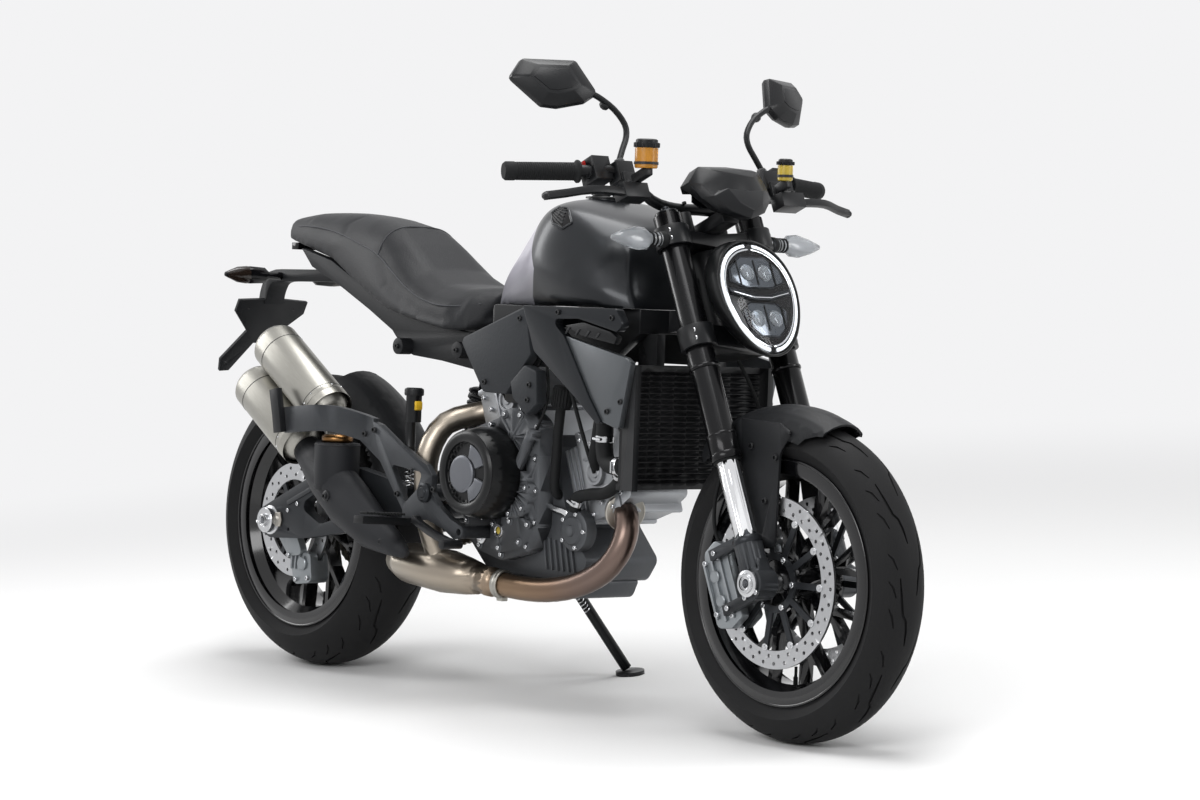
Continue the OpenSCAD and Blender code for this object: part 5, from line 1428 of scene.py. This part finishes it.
def seat_row(angle, first=0, last=10, lift=0.5):
    """Points along the seat at one angle round its section, laid on the cover."""
    c, s = math.cos(math.radians(angle)), math.sin(math.radians(angle))
    rows = [
        (x, math.copysign(w * abs(c) ** 0.6, c), low + (top - low) * s ** 0.55)
        for x, w, low, top in SEAT_LINE[first:last]
    ]
    return [on_skin(seat, p, lift) for p in rows]


seams = [tube(seat_row(a), 1.5, 2) for a in (24, 156)]
arc = [seat_row(24 + 132 * i / 12, 4, 5, 0.4)[0] for i in range(13)]
seams.append(tube(arc, 1.2, 2))
on_chassis(join(seams), "seat_seams", "seat_thread", 60)
print("seams sewn")

# %% [markdown]
# ## Engine
# The engine shows its workings: cast covers held by many small bolts, ribs that stiffen the case, a
# sight glass, a pump under the front cylinder, hoses with clamps, and plug covers on the heads. The
# solids carry the castings, and these smaller fittings are modelled once each and set on their
# faces.

# %% Engine covers
CRANK, CLUTCH, PUMP = (790, 400), (742, 460), (961, 359)
WATER_COVER, OIL_COVER = (800, 536), (812, 424)
cover_line = [
    (640, 352), (690, 302), (765, 286), (850, 310), (876, 362), (878, 430), (872, 500), (872, 566),
    (815, 600), (760, 575), (660, 545), (618, 470)
]
spots = []
for x, z in cover_line:
    inward = Vector((755 - x, 440 - z)).normalized() * 12
    spots.append(((x + inward.x, -126.2, z + inward.y), RIGHT))
spots += round_spots(OIL_COVER, -142.2, 42, 6, RIGHT, 0.3)
spots += round_spots(WATER_COVER, -138.2, 49, 6, RIGHT)
spots += [
    ((x, -136.2, z), RIGHT) for x, z in ((748, 358), (800, 367), (856, 364), (830, 328), (768, 312))
]
spots += round_spots(CRANK, 152.2, 68, 6, LEFT)
spots += [
    ((x, 126.2, z), LEFT)
    for x, z in ((712, 312), (870, 302), (886, 416), (844, 486), (730, 488), (618, 362), (618, 446))
]
bolts("cover_bolts", CHASSIS, spots, 4.6, 5)
land = lathe([(8.4, -4), (8.4, 0.6), (7.2, 1.2), (0, 1.2)], steps=14)
on_chassis(scatter(land, [aim(at, way) for at, way in spots]), "bolt_lands", "engine_grey")
insert = [lathe([(0, 7), (30, 7), (34, 6.4), (37, 4), (38, -3)], (728, -203, 457), RIGHT, 48)]
for low, high in ((18, 78), (-78, -16)):
    arc = [math.radians(low + (high - low) * k / 8) for k in range(9)]
    outline = [Vector(CLUTCH) + 58 * ray(t) for t in arc] + [
        Vector(CLUTCH) + 30 * ray(t) for t in reversed(arc)
    ]
    insert.append(plate(outline, -208, -200, 2.2))
on_chassis(join(insert), "clutch_insert", "insert_grey")
ribs = []
for hub, face, inner, outer, count in (
    (WATER_COVER, -138, 14, 53, 9), (OIL_COVER, -142, 12, 38, 7)
):
    for k in range(count):
        turn = 2 * math.pi * k / count + 0.2
        along, across = Vector((math.cos(turn), math.sin(turn))), Vector(
            (-math.sin(turn), math.cos(turn))
        ) * 1.5
        corners = [
            along * inner - across, along * outer - across, along * outer + across,
            along * inner + across
        ]
        ribs.append(
            plate([(hub[0] + c.x, hub[1] + c.y) for c in corners], face - 2.4, face + 2, 0.7)
        )
    ribs.append(
        lathe([(0, 4), (8, 4), (10, 3), (12, 0), (12, -3)], (hub[0], face, hub[1]), RIGHT, 24)
    )
on_chassis(join(ribs), "cover_webs", "engine_grey")
rim_ring = lathe(
    [(82, 0), (84, 3), (80, 7), (76, 8.5), (66, 8.5), (62, 6), (61, 2)],
    (CLUTCH[0], -204, CLUTCH[1]), RIGHT, 64
)
on_chassis(rim_ring, "clutch_rim", "clutch_black")
rim_spots = [Vector(CLUTCH) + 97 * ray(math.radians(d)) for d in (100, 150, 200, 250, 300)]
bolts("clutch_bolts", CHASSIS, [((p.x, -127, p.y), RIGHT) for p in rim_spots], 5, 10)
on_chassis(
    lathe([(8, 4), (9, 5), (13, 5), (14, 3.5), (14, -4)], (768, -137, 346), RIGHT, 24),
    "sight_ring", "bright_steel"
)
on_chassis(
    lathe([(8.4, 1), (6, 3), (0, 3.6)], (768, -137, 346), RIGHT, 20), "sight_glass",
    "reservoir_yellow"
)
on_chassis(
    lathe(
        [(0, 9), (7, 9), (9, 7), (9, 4), (15, 3), (16, 1), (16, -4)], (700, -127, 330), RIGHT, 20
    ), "oil_plug", "bright_steel"
)
print("engine covers dressed")


# %% Cylinders, heads and case ribs
def bank(angle, d, e, y):
    """Point on a cylinder: d along its bore from the crank, e across it."""
    a = math.radians(angle)
    return (
        CRANK[0] + d * math.cos(a) - e * math.sin(a), y,
        CRANK[1] + d * math.sin(a) + e * math.cos(a)
    )


def bank_box(angle, d0, d1, e0, e1):
    """The outline of a rectangle on a cylinder, in the side view."""
    corners = [bank(angle, d, e, 0) for d, e in ((d0, e0), (d0, e1), (d1, e1), (d1, e0))]
    return [(x, z) for x, _, z in corners]


spots, ribs, covers = [], [], []
for angle in (20, 110):
    for s in (-1, 1):
        way = (0, s, 0)
        spots += [(bank(angle, d, e, s * 80.2), way) for d in (188, 246) for e in (-76, 76)]
        spots += [(bank(angle, 217, e, s * 80.2), way) for e in (-60, 60)]
        spots += [(bank(angle, 272, e, s * 74.2), way) for e in (-56, 0, 56)]
        for d in (132, 144, 156, 168):
            ribs.append(plate(bank_box(angle, d - 1.8, d + 1.8, -70, 70), s * 65, s * 72, 1.0))
        for e in (-34, 34):
            ribs.append(plate(bank_box(angle, 190, 250, e - 3, e + 3), s * 79, s * 85, 1.4))
        covers.append(
            lathe(
                [(0, 8), (9, 8), (11, 6), (17, 6), (19, 9), (24, 9), (26, 6), (26, -3)],
                bank(angle, 218, 0, s * 80), way, 28
            )
        )
bolts("head_bolts", CHASSIS, spots, 4.8, 5)
on_chassis(join(ribs + covers), "cylinder_ribs", "head_grey")
case = []
for k in range(6):
    x = 868 + 17 * k
    outline = [(x, 276), (x + 4, 276), (x - 8, 344 - 4 * k), (x - 12, 344 - 4 * k)]
    case += [plate(outline, y, y + 7, 1.2) for y in (-98, 91)]
for k in range(5):
    case.append(plate(oblong(716 + 44 * k, 720 + 44 * k, 230, 258), -75, -69, 1.0))
on_chassis(join(case), "case_ribs", "engine_grey")
pump = lathe(
    [(0, 26), (10, 26), (12, 23), (26, 22), (30, 18), (34, 18), (40, 14), (41, 0), (41, -10)],
    (PUMP[0], -92, PUMP[1]), RIGHT, 36
)
on_chassis(pump, "water_pump", "engine_grey")
bolts("pump_bolts", CHASSIS, round_spots(PUMP, -108, 34, 5, RIGHT), 4.4, 5)
print("cylinders dressed")

# %% [markdown]
# ### Hoses and leads
# Coolant leaves the pump through a bent hose, and thin leads run from the heads to the frame. Each
# is one smooth curve made a mesh, fixed at both ends, with clamps where the real ones are held.

# %% Hoses and leads
fixed = [
    (
        "pump_hose",
        [
            (961, -104, 398), (966, -108, 420), (1000, -106, 432), (1050, -100, 440),
            (1092, -104, 470), (1112, -128, 494)
        ], 12, "grip_rubber"
    ),
    (
        "head_hose",
        [
            (1060, -112, 640), (1040, -112, 600), (1020, -106, 540), (1004, -96, 500),
            (1000, -84, 486)
        ], 11, "grip_rubber"
    ),
    (
        "plug_lead_front",
        [(996, -88, 474), (990, -104, 520), (960, -112, 600), (930, -112, 660), (900, -112, 700)],
        4, "grip_rubber"
    ),
    (
        "plug_lead_rear", [(716, -88, 606), (724, -104, 630), (760, -112, 660), (790, -118, 690)],
        4, "grip_rubber"
    ),
    (
        "sensor_lead", [(866, -132, 552), (880, -128, 580), (884, -120, 620), (874, -118, 690)], 3,
        "grip_rubber"
    ),
    (
        "oil_line", [(870, -100, 404), (900, -104, 398), (930, -102, 392), (944, -98, 380)], 7,
        "bright_steel"
    ),
    (
        "breather", [(800, -100, 604), (806, -106, 640), (830, -112, 680), (840, -112, 700)], 9,
        "grip_rubber"
    )
]
for name, route, radius, key in fixed:
    if "lead" in name:
        cable = lead(name, CHASSIS, route, radius, key, PARK)
        print(name, round(cable, 3), "m")
    else:
        piece(tube(route, radius, 4), name, CHASSIS, key, PARK, 60)
bands = []
for at, way, r in [
    ((1085, -141, 545), (0.05, 0, 1), 18.2),
    ((1068, -118, 664), (-0.3, 0.4, 1), 18.2),
    ((1140, -149, 495), (1, 0, 0), 18.2),
    ((966, -106, 414), (0.4, 0, 1), 13),
    ((1098, -112, 478), (0.6, -0.5, 0.7), 13),
]:
    bands.append(
        lathe(
            [(r - 1.4, -6), (r, -6), (r + 0.8, -5), (r + 0.8, 5), (r, 6), (r - 1.4, 6)], at, way, 28
        )
    )
    screw_at = (at[0], at[1] - r - 2, at[2])
    bands.append(
        lathe([(0, 12), (2.6, 12), (3, 10), (3, -10), (0, -10)], screw_at, (way[2], 0, -way[0]), 8)
    )
on_chassis(join(bands), "hose_clamps", "bright_steel")
CAP_TILT = math.radians(8)
cap_at = aim((914, -110, 596), (math.sin(CAP_TILT), 0, math.cos(CAP_TILT)))
out = Matrix.Translation((0.0192, 0, 0.022))
knurls = [cap_at @ Matrix.Rotation(i * math.pi / 10, 4, "Z") @ out for i in range(20)]
knurl = lathe([(0, -18), (1.6, -17), (1.6, 17), (0, 18)], steps=6)
on_chassis(scatter(knurl, knurls), "cap_knurls", "grip_rubber")
print("hoses and leads made")

# %% [markdown]
# ## Exhaust
# Brushed cans end in a turned ring with a dark hollow core, bands hold them to the machine, a clamp
# joins header and collector, and the black shell over the rear pipe is held by bolts through
# washers.

# %% Exhaust
AXIS = Vector((math.cos(SLOPE), 0, -math.sin(SLOPE)))
cans, cores, rivets, seams = [], [], [], []
for x, z, long in ((30, 698, 268), (-36, 609, 240)):
    start = Vector((x, -180, z))
    cans.append(
        lathe(
            [
                (36, 26), (36.5, 3), (38, 0), (42, -0.4), (43.5, 1.5), (47, 5), (50.4, 11),
                (51.3, 14), (51.3, long - 13), (50.8, long - 12)
            ], start, AXIS, 64
        )
    )
    cans.append(lathe([(51, -5), (52, -4), (52, 4), (51, 5)], start + AXIS * (long - 34), AXIS, 56))
    seams += [
        lathe([(50.8, -0.9), (51.7, -0.6), (51.7, 0.6), (50.8, 0.9)], start + AXIS * d, AXIS, 56)
        for d in (46, long - 44)
    ]
    cores.append(
        lathe([(36, 26), (24, 26), (24, 8), (22, 6), (21, 9), (21, 60), (0, 60)], start, AXIS, 40)
    )
    row = aim(start + AXIS * (long - 40), AXIS)
    out = Matrix.Translation((0.0512, 0, 0)) @ Matrix.Rotation(math.pi / 2, 4, "Y")
    rivets += [row @ Matrix.Rotation(i * math.pi / 6, 4, "Z") @ out for i in range(12)]
on_chassis(join(cans), "silencer_rings", "stainless", 40)
on_chassis(join(seams), "silencer_seams", "shield_black", 40)
on_chassis(join(cores), "silencer_cores", "shield_black", 40)
on_chassis(
    scatter(lathe([(0, 1.4), (1.6, 1.2), (2.4, 0)], steps=8), rivets), "silencer_rivets",
    "bright_steel"
)
clamp = lathe(
    [(24.5, -9), (27, -9), (29, -7), (29, -2), (27.5, 0), (29, 2), (29, 7), (27, 9), (24.5, 9)],
    (772, -127.6, 239.6), (1, 0.05, -0.02), 40
)
ear = plate([(764, 206), (782, 206), (782, 216), (764, 216)], -136, -120, 2)
on_chassis(join([clamp, ear]), "header_clamp", "stainless", 40)
flange = lathe(
    [(24, -5), (38, -5), (40, -3), (40, 3), (38, 5), (24, 5)], (1052, -54, 402), (1, -0.5, -0.25),
    28
)
on_chassis(flange, "port_flange", "warm_flange")
drum = lathe(
    [(33, 97), (43, 97), (46.6, 95), (47.5, 91), (47.5, 12), (46, 4)], (300, -199, 400), (0, 0, 1),
    64
)
on_chassis(drum, "drum_skin", "shield_black", 40)
weld = lathe([(47.5, -1.425), (48.64, 0), (47.5, 1.425)], (300, -199, 492), (0, 0, 1), 40)
on_chassis(weld, "drum_seam", "shield_black")
on_chassis(
    lathe(
        [(27, 0), (31, 0), (33, 3), (33, 9), (30, 14), (26.5, 16)], (299, -198.6, 498), (0, 0, 1),
        36
    ), "drum_collar", "gold_pipe"
)
spots = [((330, -247, 388), RIGHT), ((500, -227, 306), (0.1, -1, 0))]
bolts("shell_bolts", CHASSIS, spots, 6, 5, "bar_black")
on_chassis(
    join(
        [
            lathe([(0, 1.6), (9, 1.6), (11, 0.6), (11, -6), (0, -6)], at, way, 24)
            for at, way in spots
        ]
    ), "shell_washers", "stand_black"
)
strap = plate([(178, 566), (226, 598), (232, 590), (190, 552)], -186, -179, 2)
on_chassis(strap, "silencer_strap", "arm_grey")
print("exhaust dressed")

# %% [markdown]
# ## Rear end
# The axle ends in a ring nut with a hole for a stand, an adjuster block slides in the arm's end
# behind it, the caliper is ribbed and bolted, and the hangers carry pegs with ribbed rubbers, a
# spring and a fluid bottle.


# %% Rear end
def coil(start, end, radius, wire, turns):
    """A helical spring between two points."""
    way = Vector(end) - Vector(start)
    foot = aim(start, way)
    steps = turns * 12
    route = []
    for i in range(steps + 1):
        out = radius * ray(2 * math.pi * i / 12)
        route.append(foot @ (Vector((out.x, out.y, way.length * i / steps)) * MM) / MM)
    return tube(route, wire, 2)


for s, side in ((-1, "right"), (1, "left")):
    nut_line = [(13, 17), (16, 18), (25, 18), (27, 16), (27, 3), (31, 2), (32, 0), (32, -1)]
    nut = lathe(nut_line, (0, s * 150, 315), (0, s, 0), 6 if s > 0 else 36)
    on_chassis(nut, side + "_axle_nut", "bright_steel")
    block = plate(
        [(-40, 298), (40, 303), (44, 318), (40, 334), (-40, 329)], s * 150.2, s * 154.5, 2
    )
    on_chassis(block, side + "_adjuster", "warm_flange")
    screw = tube([(-66, s * 138, 307), (-56, s * 138, 308), (-44, s * 138, 310)], 4, 3)
    on_chassis(screw, side + "_adjuster_screw", "bright_steel")
    rib = plate(
        [
            (60, 360), (160, 402), (240, 404), (300, 394), (300, 386), (238, 395), (164, 392),
            (62, 350)
        ], s * 149, s * 153, 1.5
    )
    on_chassis(rib, side + "_arm_rib", "arm_grey")
    cap = lathe(
        [(0, 8), (9, 8), (11, 6), (15, 6), (17, 4), (20, 3), (20, -6)], (608, s * 206, 412),
        (0, s, 0), 28
    )
    on_chassis(cap, side + "_hanger_cap", "anodised_dark")
    treads = [
        Matrix.Translation(Vector((554 + 0.09 * (y - 215), s * y, 365 + 0.04 * (y - 215))) * MM)
        for y in range(222, 330, 9)
    ]
    tread = plate([(-13, -2), (13, -2), (12, 3), (-12, 3)], -2.6, 2.6, 1)
    on_chassis(scatter(tread, treads), side + "_peg_treads", "grip_rubber")
spots = [
    ((x, -202, z), RIGHT) for x, z in ((432, 530), (560, 452), (516, 404), (636, 420), (400, 520))
]
bolts("hanger_bolts", CHASSIS, both(spots), 6, 5, "stand_black")
spots = [((66, -150.4, 340), RIGHT), ((100, -150.4, 356), RIGHT), ((-30, -155, 313), RIGHT)]
bolts("arm_bolts", CHASSIS, both(spots), 4.5, 4)
ribs = [
    plate([(x, 212), (x + 5, 212), (x + 8, 242), (x + 3, 242)], -117, -111, 1.2)
    for x in (30, 44, 58, 72)
]
ribs.append(lathe([(0, 6), (13, 6), (15, 4), (15, -2)], (72, -113, 226), RIGHT, 24))
on_chassis(join(ribs), "rear_caliper_ribs", "caliper_grey")
spots = [(34, -122.4, 242), (92, -113, 196), (50, -113, 190), (20, -122.4, 330)]
bolts("rear_caliper_bolts", CHASSIS, [(at, RIGHT) for at in spots], 5, 5)
on_chassis(coil((512, -172, 418), (512, -172, 474), 9, 1.6, 6), "brake_spring", "bright_steel")
on_chassis(
    lathe(
        [(0, 16), (15, 16), (19.5, 13), (20, 10), (20, 2), (17, 0)], (518, -170, 604), (0, 0, 1), 28
    ), "bottle_lid", "screen_black"
)
on_chassis(
    plate([(532, 574), (540, 576), (540, 592), (532, 594)], -180, -164, 2), "bottle_tab",
    "yellow_cap"
)
piece(
    coil((664, 136, 232), (678, 178, 168), 6, 1.4, 10), "stand_spring", node_body["side_stand"],
    "bright_steel"
)
on_chassis(
    plate([(-97.5, 900), (-97.5, 913), (-95, 913), (-95, 900)], -46, 46, 0.6), "tail_lens",
    "tail_red"
)
spots = [((-238, s * 60, 770), (-0.87, 0, -0.48)) for s in (-1, 1)]
bolts("bracket_bolts", CHASSIS, spots, 5, 4, "stand_black")
smoked = []
LENS_AT = Matrix.Translation((-0.168, 0, 0.84))
for s in (-1, 1):
    lens = lathe(
        [(17, 0), (18, 10), (16, 34), (6, 62), (0, 64)], (-168, s * 108, 840), (0, s, 0), 16
    )
    lens.data.transform(LENS_AT @ Matrix.Diagonal((0.66, 1, 1.06, 1)) @ LENS_AT.inverted())
    smoked.append(lens)
on_chassis(join(smoked), "rear_indicator_lenses", "smoked_lens")
print("rear end dressed")

# %% [markdown]
# ## Size
# The box of the dressed machine is printed, as the CAD box is at the start, so the two can be
# compared.

# %% Sizes and the end
visual_low, visual_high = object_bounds()
{"cad": [list(cad_low), list(cad_high)], "visual": [list(visual_low), list(visual_high)]}
print("visual box", [round(v, 3) for v in visual_low], [round(v, 3) for v in visual_high])
